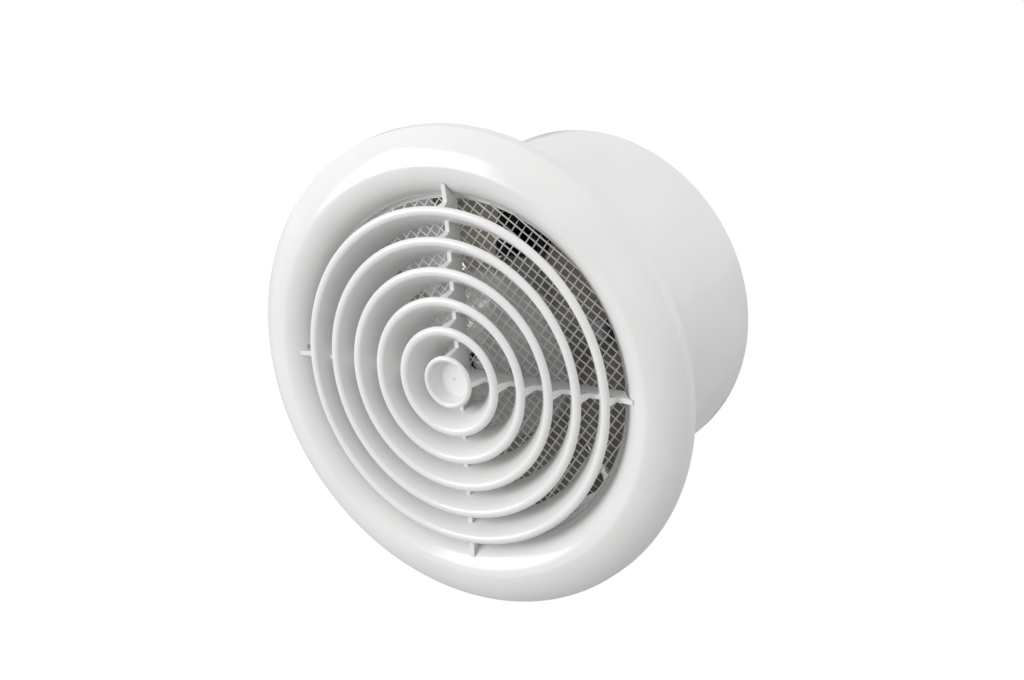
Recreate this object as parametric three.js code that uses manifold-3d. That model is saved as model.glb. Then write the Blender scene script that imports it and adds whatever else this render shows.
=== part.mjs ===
// Round-flanged axial extractor fan for a 125 mm duct hole.
// Millimetres, +Z up. The duct's axis is Y: the face looks towards -Y and the duct runs back towards +Y.
// The origin is the centre of the flange's back face, where the fan meets the wall or panel (y = 0).
import * as THREE from 'three';
import { mergeVertices } from 'three/addons/utils/BufferGeometryUtils.js';
import Module from 'manifold-3d';

const wasm = await Module();
wasm.setup();

// ---------------------------------------------------------------- driving dimensions

const SEAT = 0.3; // gap between two pieces that rest on each other
const FIT = 0.4; // sliding gap round a piece that is put in by hand

// Duct casing, with the flange that is screwed to the wall.
const DUCT_R = 61.5;
const DUCT_WALL = 2.2;
const DUCT_LENGTH = 81.8;
const DUCT_IR = DUCT_R - DUCT_WALL;
const FLANGE_T = 2.4;
const WALL_HOLE_R = 2.3;
const WALL_HOLE_COUNT = 4;
const WALL_HOLE_FIRST = 45;

// Front cover: a domed ring. Its section runs from the rim over a crest and down a funnel to the opening.
const COVER_WALL = 2.2;
const OPENING_STEP = 1.0; // the opening is this much wider than the duct's bore
const OPENING_DEPTH = 3.4; // opening edge in front of the wall plane
const FUNNEL_WIDTH = 9.7;
const FUNNEL_TURN = 56;
const CREST_DEPTH = 9.9;
const FACE_WIDTH = 11.8;
const FACE_TURN = 42;
const RIM_DEPTH = 3.6;
const RIM_DRAFT = 0.3;
const OPENING_R = DUCT_IR + OPENING_STEP;
const CREST_R = OPENING_R + FUNNEL_WIDTH;
const RIM_CORNER_R = CREST_R + FACE_WIDTH;
const RIM_R = RIM_CORNER_R + RIM_DRAFT;
const SNAP_BEAD = 1.0; // how far each bead reaches in behind the flange's thin edge
const SNAP_BEAD_T = 0.8;
const SNAP_BEAD_TURN = 12;
const FLANGE_EDGE_T = 1.2;
const FLANGE_EDGE_W = 2.4;
const FLANGE_R = RIM_R - COVER_WALL - FIT;
const NOTCH_REACH = 2.4; // prising notch beside the left spoke
const NOTCH_W = 2.2;

// Grille insert: a centre cup and five funnel rings on four spokes, domed towards the front.
const RING_COUNT = 5;
const RING_GAP = 3.55; // from the outer ring's lip centre to the opening's edge
const CUP_R = 8.0;
const CUP_FLOOR_R = 5.5;
const CUP_DEPTH = 3.4;
const CUP_FLOOR_T = 1.5;
const CUP_FLARE = 37.5; // the cup's outer side, from the axis
const LIP_R = 1.0; // half a lip's width on the cup, and the rings' lips in front of their centre lines
const ROLL_R = 1.9; // a ring's lip rolls over from its funnel to the front
const ROLL_IN = 0.5; // from the lip's centre line in to its foremost line
const CORNER_R = 0.7; // a lip's outer corner
const CORNER_TURN = 45; // from the foremost line round to the corner
const GRILLE_FRONT = 14.0; // cup's lip centre in front of the wall plane
const GRILLE_DEPTH = 12.1; // from there back to the rings' rear edges
const DOME_DROP = 3.1; // outer ring's lip behind the cup's lip
const VANE_ANGLE = 40; // a ring's funnel angle at its lip, from the axis
const VANE_INSET = 7.2; // from the lip's centre line in to the rear edge
const VANE_EDGE_T = 0.9;
const SPOKE_T = 1.65;
const SPOKE_SET_BACK = 6.2; // spokes' front edge behind the cup's lip
const GUSSET_W = 0.9;
const GUSSET_ANGLE = 30; // where each gusset leaves its lip, behind the lip's widest point
const FINE_RING_R = 40.0; // rings wider than this have fine facets
const SPOKE_TIP_IN = 5.2; // from the crest's circle in to the spoke's tip
const OUTER_RING_R = OPENING_R - RING_GAP;
const RING_PITCH = (OUTER_RING_R - CUP_R) / RING_COUNT;

// Insect net, here in a coarse pitch that stands in for its fine weave, and the ring that backs it.
const NET_TURN = 9; // how far the weave is turned from the diagonals
const NET_PITCH = 9.8;
const NET_WIRE = 0.7;
const NET_T = 0.5;
const NET_RIM_W = 0.6;
const NET_RING_W = 1.0;
const NET_RING_T = 1.2;

// Impeller.
const BLADE_COUNT = 6;
const TIP_GAP = 1.6;
const BLADE_T = 1.5;
const BLADE_SWEEP = 43; // how far one blade reaches round the axis
const BLADE_LEAD = 25; // angle of the first leading edge, from +X towards +Z
const BLADE_TIP_ANGLE = 4; // the leading edge's lean at the tip
const BLADE_ROOT_FRONT = 2.5; // blade root's front edge behind the dome's shoulder plane, taken forward
const BLADE_TIP_FRONT = 6.0;
const BLADE_BACK_IN = 1.0;
const BLADE_EDGE_SHARE = 0.6; // leading and trailing edges' share of the blade's thickness
const HUB_R = 30.0;
const HUB_WALL = 2.0;
const HUB_NOSE = 3.5; // hub's nose behind the wall plane
const HUB_DOME = 13.5;
const HUB_SKIRT = 13.0;
const NOSE_HOLE_R = 4.6;
const HUB_BOSS_R = 6.5;
const HUB_BOSS_BACK = 10.0; // from the nose to the boss's back end
const HUB_BOSS_RECESS = 3.2; // from the nose to the boss's front end

// Motor.
const SHAFT_R = 2.5;
const MOTOR_R = 26.0;
const MOTOR_SHELL_T = 1.5;
const MOTOR_FRONT = 18.0;
const MOTOR_LENGTH = 34.0;
const BEARING_R = 6.0;
const BEARING_W = 6.0;
const BEARING_SEAT_T = 1.7;
const BEARING_SEAT_OUT = 3.0; // how far each bearing seat stands out of its shell
const SEAT_LIP_T = 0.8;
const STATOR_R = MOTOR_R - MOTOR_SHELL_T - SEAT;
const STATOR_LENGTH = 16.0;
const STATOR_YOKE = 5.4;
const POLE_COUNT = 4;
const POLE_W = 8.0;
const POLE_SHOE_T = 2.0;
const POLE_SHOE_TURN = 64;
const AIR_GAP = 0.5;
const ROTOR_R = 11.0;
const COIL_T = 2.6;
const END_RING_T = 2.4;
const END_RING_IN = 1.0;
const WASHER_T = 0.6;
const WASHER_R = 5.0;
const BOLT_R = 1.5;
const BOLT_COUNT = 4;
const BOLT_HEAD_R = 2.7;
const BOLT_HEAD_T = 1.5;
const BOLT_PCR = 21.4; // pitch circle radius of the through bolts

// Cross recess in a screw's head.
const RECESS_R = 1.8;
const RECESS_DEPTH = 1.0;
const RECESS_W = 0.8;

// Clip that holds the impeller on the shaft.
const CLIP_R = 4.2;
const CLIP_T = 0.8;
const SHAFT_NOSE = 1.2; // shaft's end in front of the clip

// Motor bracket: a wide centre plate and four arms, screwed to lugs in the duct.
const BRACKET_GAP = 3.0; // from the motor's back to the bracket, taken up by the grommets
const BRACKET_T = 3.0;
const BRACKET_IR = 14.5;
const BRACKET_R = 35.0;
const ARM_COUNT = 4;
const ARM_FIRST = 26; // angle of the first arm, from +X towards +Z
const ARM_W = 11.5;
const ARM_RIB_W = 2.4;
const ARM_RIB_H = 3.0;
const LUG_W = 13.0;
const LUG_DEPTH = 8.0;
const LUG_LENGTH = 10.0;
const BRACKET_SCREW_HEAD_R = 3.0;
const BRACKET_SCREW_HEAD_T = 2.0;
const BRACKET_SCREW_LENGTH = 9.0;

// Rubber grommets between the motor and the bracket, and their screws.
const GROMMET_COUNT = 4;
const GROMMET_FIRST = 45;
const GROMMET_PCR = 21.0;
const GROMMET_WAIST_R = 2.8;
const GROMMET_FLANGE_R = 4.2;
const GROMMET_FLANGE_T = 1.6;
const MOTOR_SCREW_HEAD_R = 3.0;
const MOTOR_SCREW_HEAD_T = 2.0;
const MOTOR_SCREW_REACH = 2.4; // into the motor, past its end wall's outer face

// Terminal box on the bracket's back.
const BOX_HALF_W = 8.2;
const BOX_HALF_H = 16.0;
const BASE_T = 1.5;
const COVER_T = 1.2;
const BOX_DEPTH = 15.0;
const BLOCK_HALF_W = 7.4;
const BLOCK_DROP = 4.0; // block's lower side below the box's centre
const BLOCK_HEIGHT = 10.0;
const BLOCK_DEPTH = 9.0;
const POLE_PITCH = 4.8;
const TERMINAL_SCREW_R = 1.5;
const TERMINAL_SCREW_L = 3.0;
const TERMINAL_SLOT_W = 0.6;
const TERMINAL_SLOT_DEPTH = 0.8;
const TERMINAL_WELL_DEPTH = 5.0;
const CLAMP_DROP = 13.4; // clamp's lower side below the box's centre
const CLAMP_H = 4.0;
const CLAMP_SADDLE = 4.0;
const CLAMP_BAR_T = 2.0;
const CLAMP_CABLE_R = 2.6;
const CLAMP_SCREW_X = 5.4;
const CLAMP_SCREW_R = 1.0;
const CLAMP_HEAD_R = 1.9;
const CLAMP_HEAD_T = 1.2;
const BUSH_BORE_R = 2.8;
const BUSH_WAIST_R = 3.8;
const BUSH_FLANGE_R = 5.0;
const BUSH_FLANGE_T = 1.0;

// Leads from the terminal block into the motor.
const LEAD_R = 0.8;
const LEAD_X = 1.3;
const LEAD_Z = 12.4;
const LEAD_GROMMET_R = 2.6;
const LEAD_GROMMET_FLANGE_R = 3.6;
const LEAD_GROMMET_FLANGE_T = 1.0;

// Facets of round pieces, by size.
const FINE = 48;
const MEDIUM = 28;
const COARSE = 12;
const SMALL = 8;
const HEXAGON = 6;

// ---------------------------------------------------------------- solids

const MERGE_DISTANCE = 1e-4;

// The geometry as one welded closed solid with its faces pointing out.
function toSolid(geometry) {
  const bare = geometry.clone();
  bare.deleteAttribute('normal');
  bare.deleteAttribute('uv');
  const merged = mergeVertices(bare, MERGE_DISTANCE);
  const place = merged.getAttribute('position');
  const index = merged.getIndex().array;
  const corner = [new THREE.Vector3(), new THREE.Vector3(), new THREE.Vector3()];
  const faces = [];
  let volume = 0;
  for (let i = 0; i < index.length; i += 3) {
    const face = [index[i], index[i + 1], index[i + 2]];
    if (new Set(face).size < 3) continue;
    face.forEach((v, k) => corner[k].fromBufferAttribute(place, v));
    volume += corner[0].dot(corner[1].clone().cross(corner[2]));
    faces.push(face);
  }
  if (volume < 0) faces.forEach((face) => face.reverse());
  return new wasm.Manifold(new wasm.Mesh({
    numProp: 3,
    vertProperties: new Float32Array(place.array),
    triVerts: new Uint32Array(faces.flat()),
  }));
}

function toGeometry(solid) {
  const mesh = solid.getMesh();
  const geometry = new THREE.BufferGeometry();
  geometry.setAttribute('position', new THREE.BufferAttribute(new Float32Array(mesh.vertProperties), 3));
  geometry.setIndex(new THREE.BufferAttribute(new Uint32Array(mesh.triVerts), 1));
  geometry.computeVertexNormals();
  return geometry;
}

const joined = (...solids) => solids.flat().reduce((sum, solid) => sum.add(solid));
const cut = (body, ...tools) => tools.flat().reduce((rest, tool) => rest.subtract(tool), body);

// A profile of [radius, y] points turned about the Y axis. A profile off the axis closes on itself.
function turned(profile, segments) {
  const points = profile.map(([r, y]) => new THREE.Vector2(r, y));
  if (profile[0][0] > 0) points.push(points[0].clone());
  return toSolid(new THREE.LatheGeometry(points, segments));
}

// A tube or washer round the Y axis.
function ring(innerR, outerR, front, back, segments) {
  return turned([[innerR, front], [outerR, front], [outerR, back], [innerR, back]], segments);
}

// A round rod along the Y axis.
function rod(radius, front, back, segments) {
  return turned([[0, front], [radius, front], [radius, back], [0, back]], segments);
}

function block(x0, x1, y0, y1, z0, z1) {
  const box = new THREE.BoxGeometry(x1 - x0, y1 - y0, z1 - z0);
  box.translate((x0 + x1) / 2, (y0 + y1) / 2, (z0 + z1) / 2);
  return toSolid(box);
}

// An outline of [radius, y] points as a flat plate standing on the +X half plane.
function plate(outline, thickness) {
  const shape = new THREE.Shape(outline.map(([r, y]) => new THREE.Vector2(r, y)));
  const body = new THREE.ExtrudeGeometry(shape, { depth: thickness, bevelEnabled: false });
  body.translate(0, 0, -thickness / 2);
  return toSolid(body);
}

// Angles are counted from +X towards +Z, which is a negative turn about Y.
const turnedBy = (solid, degrees) => solid.rotate([0, -degrees, 0]);
const around = (count, first, make) =>
  Array.from({ length: count }, (_, i) => turnedBy(make(i), first + (360 / count) * i));
const at = (solid, x, y, z) => solid.translate([x, y, z]);

// Points of a circular arc from a to b in the (radius, y) plane, bulging to the front (towards -y).
function frontArc(a, b, turn, steps, inset = 0) {
  const start = new THREE.Vector2(...a);
  const end = new THREE.Vector2(...b);
  const half = THREE.MathUtils.degToRad(turn / 2);
  const chord = end.clone().sub(start);
  const along = chord.clone().normalize();
  const back = new THREE.Vector2(-along.y, along.x);
  if (back.y < 0) back.negate();
  const radius = chord.length() / 2 / Math.sin(half);
  const centre = start.clone().add(end).multiplyScalar(0.5).addScaledVector(back, radius * Math.cos(half));
  const points = [];
  for (let i = 0; i <= steps; i += 1) {
    const angle = -half + (2 * half * i) / steps;
    const point = centre.clone().addScaledVector(back, -(radius - inset) * Math.cos(angle));
    point.addScaledVector(along, (radius - inset) * Math.sin(angle));
    points.push([point.x, point.y]);
  }
  return points;
}

// ---------------------------------------------------------------- materials

function finish(color, roughness, metalness = 0) {
  return new THREE.MeshStandardMaterial({ color, roughness, metalness });
}
const whitePlastic = finish(0xf2f2f0, 0.22);
const netPlastic = finish(0xe8e8e4, 0.45);
const greyPlastic = finish(0xb9bab8, 0.35);
const darkPlastic = finish(0x4a4b4c, 0.5);
const steel = finish(0xa9abad, 0.35, 0.9);
const darkSteel = finish(0x55585b, 0.45, 0.9);
const copper = finish(0xa65a34, 0.4, 0.8);
const brass = finish(0xb89a55, 0.35, 0.9);
const aluminium = finish(0xc4c6c8, 0.4, 0.9);
const rubber = finish(0x232323, 0.85);
const brownLead = finish(0x5a3420, 0.5);
const blueLead = finish(0x2c4f8a, 0.5);

const fan = new THREE.Group();
const grille = new THREE.Group();
const rotorGroup = new THREE.Group();
const motorGroup = new THREE.Group();
fan.add(grille, rotorGroup, motorGroup);

function piece(name, solid, material, parent = fan) {
  const mesh = new THREE.Mesh(toGeometry(solid), material);
  mesh.name = name;
  parent.add(mesh);
  return mesh;
}

// Copies of one piece round the Y axis, numbered from 1.
function piecesAround(name, count, first, solid, material, parent = fan) {
  for (let i = 0; i < count; i += 1) {
    const mesh = piece(`${name}_${i + 1}`, solid, material, parent);
    mesh.rotation.y = -THREE.MathUtils.degToRad(first + (360 / count) * i);
  }
}

// ---------------------------------------------------------------- front cover

const openingEdge = [OPENING_R, -OPENING_DEPTH];
const crest = [CREST_R, -CREST_DEPTH];
const rimCorner = [RIM_CORNER_R, -RIM_DEPTH];
const LIP_BACK = FLANGE_T + SEAT; // cover's inner lip rests on the flange

function frontCover() {
  const face = frontArc(rimCorner, crest, FACE_TURN, 4);
  const funnel = frontArc(crest, openingEdge, FUNNEL_TURN, 5);
  const innerFace = frontArc(rimCorner, crest, FACE_TURN, 2, COVER_WALL);
  const innerFunnel = frontArc(crest, openingEdge, FUNNEL_TURN, 3, COVER_WALL);
  const profile = [
    [RIM_R, 0],
    ...face,
    ...funnel.slice(1),
    [OPENING_R - SEAT, -LIP_BACK],
    [OPENING_R + COVER_WALL, -LIP_BACK],
    ...innerFunnel.slice(1, -1).reverse(),
    [CREST_R, COVER_WALL - CREST_DEPTH],
    ...innerFace.slice(1, -1).reverse(),
    [RIM_R - COVER_WALL, -LIP_BACK - SEAT],
    [RIM_R - COVER_WALL, 0],
  ];
  const shell = turned(profile, FINE);
  const beadRing = ring(FLANGE_R - SNAP_BEAD, RIM_R - COVER_WALL / 2, -SNAP_BEAD_T, 0, FINE);
  const beadHalf = FLANGE_R * Math.tan(THREE.MathUtils.degToRad(SNAP_BEAD_TURN / 2));
  const beads = around(4, 0, () => beadRing.intersect(block(0, RIM_R, -FLANGE_T, 0, -beadHalf, beadHalf)));
  const spokeSide = SPOKE_T / 2 + SEAT;
  const notch = block(
    -OPENING_R - NOTCH_REACH, -OPENING_R + LIP_R, -CREST_DEPTH, 0, spokeSide, spokeSide + NOTCH_W,
  );
  return cut(joined(shell, beads), notch);
}
piece('front_cover', frontCover(), whitePlastic);

// ---------------------------------------------------------------- duct casing

const BRACKET_FRONT = MOTOR_FRONT + MOTOR_LENGTH + BRACKET_GAP;
const BRACKET_BACK = BRACKET_FRONT + BRACKET_T;
const LUG_BACK = BRACKET_FRONT - SEAT;
const LUG_R = DUCT_IR - LUG_DEPTH;
const ARM_SCREW_R = DUCT_IR - LUG_DEPTH / 2;

function ductCasing() {
  const shell = turned([
    [DUCT_IR, -FLANGE_T],
    [FLANGE_R, -FLANGE_T],
    [FLANGE_R, -FLANGE_EDGE_T],
    [FLANGE_R - FLANGE_EDGE_W, -FLANGE_EDGE_T],
    [FLANGE_R - FLANGE_EDGE_W, 0],
    [DUCT_R, 0],
    [DUCT_R, DUCT_LENGTH],
    [DUCT_IR, DUCT_LENGTH],
  ], FINE);
  const lugs = around(ARM_COUNT, ARM_FIRST, () =>
    block(LUG_R, DUCT_R - DUCT_WALL / 2, LUG_BACK - LUG_LENGTH, LUG_BACK, -LUG_W / 2, LUG_W / 2));
  const pilots = around(ARM_COUNT, ARM_FIRST, () =>
    at(rod(BOLT_R + SEAT, LUG_BACK - LUG_LENGTH - SEAT, LUG_BACK + SEAT, SMALL), ARM_SCREW_R, 0, 0));
  const wallHoleR = (DUCT_R + FLANGE_R - FLANGE_EDGE_W) / 2;
  const wallHoles = around(WALL_HOLE_COUNT, WALL_HOLE_FIRST, () =>
    at(rod(WALL_HOLE_R, -FLANGE_T * 2, FLANGE_T, SMALL), wallHoleR, 0, 0));
  return cut(joined(shell, lugs), pilots, wallHoles);
}
piece('duct_casing', ductCasing(), whitePlastic);

// ---------------------------------------------------------------- grille insert
// Drawn from the cup's lip: y = 0 there, and the group carries it to its place.

grille.position.y = -GRILLE_FRONT;

const ringRadius = (k) => CUP_R + RING_PITCH * k;
const lipDepth = (r) => (DOME_DROP * (r * r - CUP_R * CUP_R)) / (OUTER_RING_R * OUTER_RING_R - CUP_R * CUP_R);
// A point on a circle about [r, y], counted from its foremost point outwards.
function onCircle(r, y, radius, degrees) {
  const angle = THREE.MathUtils.degToRad(degrees);
  return [r + radius * Math.sin(angle), y - radius * Math.cos(angle)];
}

// A ring's lip from its funnel's side: a wide roll over the front, then a tight corner to the outer side.
function ringLip(r) {
  const roll = [r - ROLL_IN, lipDepth(r) - LIP_R + ROLL_R];
  const corner = onCircle(...roll, ROLL_R - CORNER_R, CORNER_TURN);
  return [
    ...[VANE_ANGLE - 90, 0, CORNER_TURN].map((degrees) => onCircle(...roll, ROLL_R, degrees)),
    onCircle(...corner, CORNER_R, VANE_ANGLE + 90),
  ];
}

// A funnel ring: the lip, and a blade that leans in and narrows to the rear edge.
function funnelRing(r) {
  const lip = ringLip(r);
  const innerBack = r - VANE_INSET;
  const lean = Math.atan2(lip[0][0] - innerBack, GRILLE_DEPTH - lip[0][1]);
  const outerBack = innerBack + VANE_EDGE_T / Math.cos(lean);
  const profile = [...lip, [outerBack, GRILLE_DEPTH], [innerBack, GRILLE_DEPTH]];
  return turned(profile, r > FINE_RING_R ? FINE : MEDIUM);
}

function centreCup() {
  const narrowing = CUP_DEPTH * Math.tan(THREE.MathUtils.degToRad(CUP_FLARE));
  return turned([
    [0, CUP_DEPTH],
    [CUP_FLOOR_R, CUP_DEPTH],
    ...[-90, -45, 0, 45, 90].map((degrees) => onCircle(CUP_R, 0, LIP_R, degrees)),
    [CUP_R + LIP_R - narrowing, CUP_DEPTH + CUP_FLOOR_T / 2],
    [CUP_FLOOR_R - LIP_R / 2, CUP_DEPTH + CUP_FLOOR_T],
    [0, CUP_DEPTH + CUP_FLOOR_T],
  ], COARSE);
}

// Each spoke is an upright plate from the axis to the cover's funnel, with a gusset up to every lip.
const TIP_R = CREST_R - SPOKE_TIP_IN;
const gusset = THREE.MathUtils.degToRad(GUSSET_ANGLE);
function spoke() {
  const front = [[0, CUP_DEPTH + CUP_FLOOR_T / 2], [CUP_FLOOR_R, CUP_DEPTH + CUP_FLOOR_T / 2]];
  for (let k = 0; k <= RING_COUNT; k += 1) {
    const r = ringRadius(k);
    const y = lipDepth(r);
    const [wallR, wallY] = ringLip(r)[0];
    const share = (SPOKE_SET_BACK - wallY) / (GRILLE_DEPTH - wallY);
    if (k > 0) front.push([THREE.MathUtils.lerp(wallR, r - VANE_INSET, share), SPOKE_SET_BACK]);
    front.push([r, y]);
    front.push([r + LIP_R * Math.cos(gusset), y + LIP_R * Math.sin(gusset)]);
    front.push([r + LIP_R + GUSSET_W, SPOKE_SET_BACK]);
  }
  const seat = frontArc(crest, openingEdge, FUNNEL_TURN, 7, -SEAT)
    .filter(([r]) => r < TIP_R)
    .map(([r, y]) => [r, y + GRILLE_FRONT]);
  const neck = DUCT_IR - FIT;
  return plate([
    ...front,
    ...seat,
    [neck, GRILLE_FRONT - LIP_BACK + SEAT],
    [neck, GRILLE_DEPTH],
    [0, GRILLE_DEPTH],
  ], SPOKE_T);
}

const rings = Array.from({ length: RING_COUNT }, (_, k) => funnelRing(ringRadius(k + 1)));
piece('grille_insert', joined(centreCup(), rings, around(4, 0, spoke)), whitePlastic, grille);

// ---------------------------------------------------------------- insect net and its ring

const NET_FRONT = GRILLE_DEPTH + SEAT;
const NET_BACK = NET_FRONT + NET_T;
const NET_R = DUCT_IR - FIT;

function insectNet() {
  const rim = ring(NET_R - NET_RIM_W, NET_R, NET_FRONT, NET_BACK, FINE);
  const disc = rod(NET_R - NET_RIM_W / 2, NET_FRONT, NET_BACK, FINE);
  const wires = [];
  const half = Math.floor(NET_R / NET_PITCH);
  for (let i = -half; i <= half; i += 1) {
    const x = i * NET_PITCH;
    wires.push(block(x - NET_WIRE / 2, x + NET_WIRE / 2, NET_FRONT, NET_BACK, -NET_R, NET_R));
  }
  const across = joined(wires);
  const weave = joined(turnedBy(across, NET_TURN + 45), turnedBy(across, NET_TURN - 45)).intersect(disc);
  return joined(rim, weave);
}
piece('insect_net', insectNet(), netPlastic, grille);

const netRingFront = NET_BACK + SEAT;
const netRing = ring(NET_R - NET_RING_W, NET_R, netRingFront, netRingFront + NET_RING_T, MEDIUM);
piece('net_ring', netRing, whitePlastic, grille);

// ---------------------------------------------------------------- impeller
// Drawn from the hub's nose: y = 0 there.

rotorGroup.position.y = HUB_NOSE;

const SHOULDER = HUB_DOME;
const HUB_BACK = HUB_DOME + HUB_SKIRT;
const domeY = (r, radius) => HUB_DOME - HUB_DOME * Math.sqrt(Math.max(0, 1 - (r / radius) ** 2));

function hub() {
  const steps = 6;
  const outer = [];
  const inner = [];
  const innerR = HUB_R - HUB_WALL;
  for (let i = 0; i <= steps; i += 1) {
    const share = i / steps;
    const r = NOSE_HOLE_R + (HUB_R - NOSE_HOLE_R) * Math.sin((share * Math.PI) / 2);
    const q = HUB_BOSS_R + (innerR - HUB_BOSS_R) * Math.sin((share * Math.PI) / 2);
    outer.push([r, domeY(r, HUB_R)]);
    inner.push([q, domeY(q, innerR) + HUB_WALL]);
  }
  return turned([
    [SHAFT_R + SEAT, HUB_BOSS_RECESS],
    [NOSE_HOLE_R, HUB_BOSS_RECESS],
    ...outer,
    [HUB_R, HUB_BACK],
    [innerR, HUB_BACK],
    ...inner.reverse(),
    [HUB_BOSS_R, HUB_BOSS_BACK],
    [SHAFT_R + SEAT, HUB_BOSS_BACK],
  ], MEDIUM);
}

// One blade: a thin cambered sheet from the hub's skirt to the tip, a grid over span and chord.
function blade() {
  const spanSteps = 3;
  const chordSteps = 5;
  const rootR = HUB_R - HUB_WALL / 2;
  const tipR = DUCT_IR - TIP_GAP;
  const back = HUB_BACK - BLADE_BACK_IN;
  const points = [];
  for (const side of [-1, 1]) {
    for (let i = 0; i <= spanSteps; i += 1) {
      const span = i / spanSteps;
      const r = rootR + (tipR - rootR) * span;
      const front = THREE.MathUtils.lerp(SHOULDER - BLADE_ROOT_FRONT, SHOULDER - BLADE_TIP_FRONT, span);
      for (let j = 0; j <= chordSteps; j += 1) {
        const chord = j / chordSteps;
        const angle = THREE.MathUtils.degToRad(BLADE_LEAD - BLADE_TIP_ANGLE * span + BLADE_SWEEP * chord);
        const camber = Math.sin(Math.PI * chord) * BLADE_T;
        const taper = THREE.MathUtils.lerp(BLADE_EDGE_SHARE, 1, Math.sin(Math.PI * chord));
        const y = THREE.MathUtils.lerp(front, back, chord) - camber + (side * taper * BLADE_T) / 2;
        points.push(r * Math.cos(angle), y, r * Math.sin(angle));
      }
    }
  }
  const row = chordSteps + 1;
  const sheet = row * (spanSteps + 1);
  const faces = [];
  const quad = (a, b, c, d) => faces.push(a, b, c, a, c, d);
  for (let i = 0; i < spanSteps; i += 1) {
    for (let j = 0; j < chordSteps; j += 1) {
      const a = i * row + j;
      quad(a, a + 1, a + row + 1, a + row);
      quad(sheet + a, sheet + a + row, sheet + a + row + 1, sheet + a + 1);
    }
    const front = i * row;
    quad(front, front + row, sheet + front + row, sheet + front);
    const rear = i * row + chordSteps;
    quad(rear, sheet + rear, sheet + rear + row, rear + row);
  }
  for (let j = 0; j < chordSteps; j += 1) {
    quad(j, sheet + j, sheet + j + 1, j + 1);
    const tip = spanSteps * row + j;
    quad(tip, tip + 1, sheet + tip + 1, sheet + tip);
  }
  const geometry = new THREE.BufferGeometry();
  geometry.setAttribute('position', new THREE.Float32BufferAttribute(points, 3));
  geometry.setIndex(faces);
  return toSolid(geometry);
}

piece('impeller', joined(hub(), around(BLADE_COUNT, 0, blade)), greyPlastic, rotorGroup);

const clipBack = HUB_BOSS_RECESS - SEAT;
const clipFront = clipBack - CLIP_T;
piece('impeller_clip', ring(SHAFT_R + SEAT, CLIP_R, clipFront, clipBack, COARSE), steel, rotorGroup);

// ---------------------------------------------------------------- shaft and rotor
// Drawn from the motor's front face: y = 0 there.

motorGroup.position.y = MOTOR_FRONT;
const shaftGroup = new THREE.Group();
shaftGroup.position.y = MOTOR_FRONT - HUB_NOSE;
rotorGroup.add(shaftGroup);

const STATOR_FRONT = (MOTOR_LENGTH - STATOR_LENGTH) / 2;
const STATOR_BACK = STATOR_FRONT + STATOR_LENGTH;
const seatEnd = BEARING_SEAT_OUT - SEAT_LIP_T - SEAT;
const bearingFront = -seatEnd;
const bearingBack = bearingFront + BEARING_W;
const shaftFront = HUB_NOSE + clipFront - SHAFT_NOSE - MOTOR_FRONT;
const shaftBack = MOTOR_LENGTH + seatEnd;
piece('motor_shaft', rod(SHAFT_R, shaftFront, shaftBack, COARSE), steel, shaftGroup);
piece('rotor_core', ring(SHAFT_R + SEAT, ROTOR_R, STATOR_FRONT, STATOR_BACK, MEDIUM), darkSteel, shaftGroup);

const endRing = (front) => ring(ROTOR_R / 2, ROTOR_R - END_RING_IN, front, front + END_RING_T, COARSE);
piece('rotor_end_ring_front', endRing(STATOR_FRONT - SEAT - END_RING_T), aluminium, shaftGroup);
piece('rotor_end_ring_rear', endRing(STATOR_BACK + SEAT), aluminium, shaftGroup);
const washer = (front) => ring(SHAFT_R + SEAT, WASHER_R, front, front + WASHER_T, COARSE);
piece('thrust_washer_front', washer(bearingBack + SEAT), netPlastic, shaftGroup);
piece('thrust_washer_rear', washer(MOTOR_LENGTH - bearingBack - SEAT - WASHER_T), netPlastic, shaftGroup);

// ---------------------------------------------------------------- motor

const SPLIT = MOTOR_LENGTH / 2;
const seatR = BEARING_R + SEAT;
const seatOuterR = seatR + BEARING_SEAT_T;

// The front half of the motor's case: a pressed cup with a bearing seat. The rear half is its mirror image.
function motorShell() {
  const seatDepth = bearingBack;
  const cup = turned([
    [SHAFT_R + SEAT * 2, -BEARING_SEAT_OUT],
    [seatOuterR, -BEARING_SEAT_OUT],
    [seatOuterR, 0],
    [MOTOR_R, 0],
    [MOTOR_R, SPLIT - SEAT / 2],
    [MOTOR_R - MOTOR_SHELL_T, SPLIT - SEAT / 2],
    [MOTOR_R - MOTOR_SHELL_T, MOTOR_SHELL_T],
    [seatOuterR, MOTOR_SHELL_T],
    [seatOuterR, seatDepth],
    [seatR, seatDepth],
    [seatR, SEAT_LIP_T - BEARING_SEAT_OUT],
    [SHAFT_R + SEAT * 2, SEAT_LIP_T - BEARING_SEAT_OUT],
  ], MEDIUM);
  const holes = around(BOLT_COUNT, 0, () =>
    at(rod(BOLT_R + SEAT, -SEAT, MOTOR_SHELL_T + SEAT, SMALL), BOLT_PCR, 0, 0));
  return cut(cup, holes);
}
const mirrored = (solid) => at(solid.mirror([0, 1, 0]), 0, MOTOR_LENGTH, 0);
const screwHoles = around(GROMMET_COUNT, GROMMET_FIRST, () =>
  at(rod(BOLT_R + SEAT, MOTOR_LENGTH - MOTOR_SHELL_T - SEAT, MOTOR_LENGTH + SEAT, SMALL), GROMMET_PCR, 0, 0));
const leadHole = at(
  rod(LEAD_GROMMET_R + SEAT, MOTOR_LENGTH - MOTOR_SHELL_T - SEAT, MOTOR_LENGTH + SEAT, COARSE), 0, 0, LEAD_Z,
);
piece('motor_front_shell', motorShell(), steel, motorGroup);
piece('motor_rear_shell', cut(mirrored(motorShell()), screwHoles, leadHole), steel, motorGroup);

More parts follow.
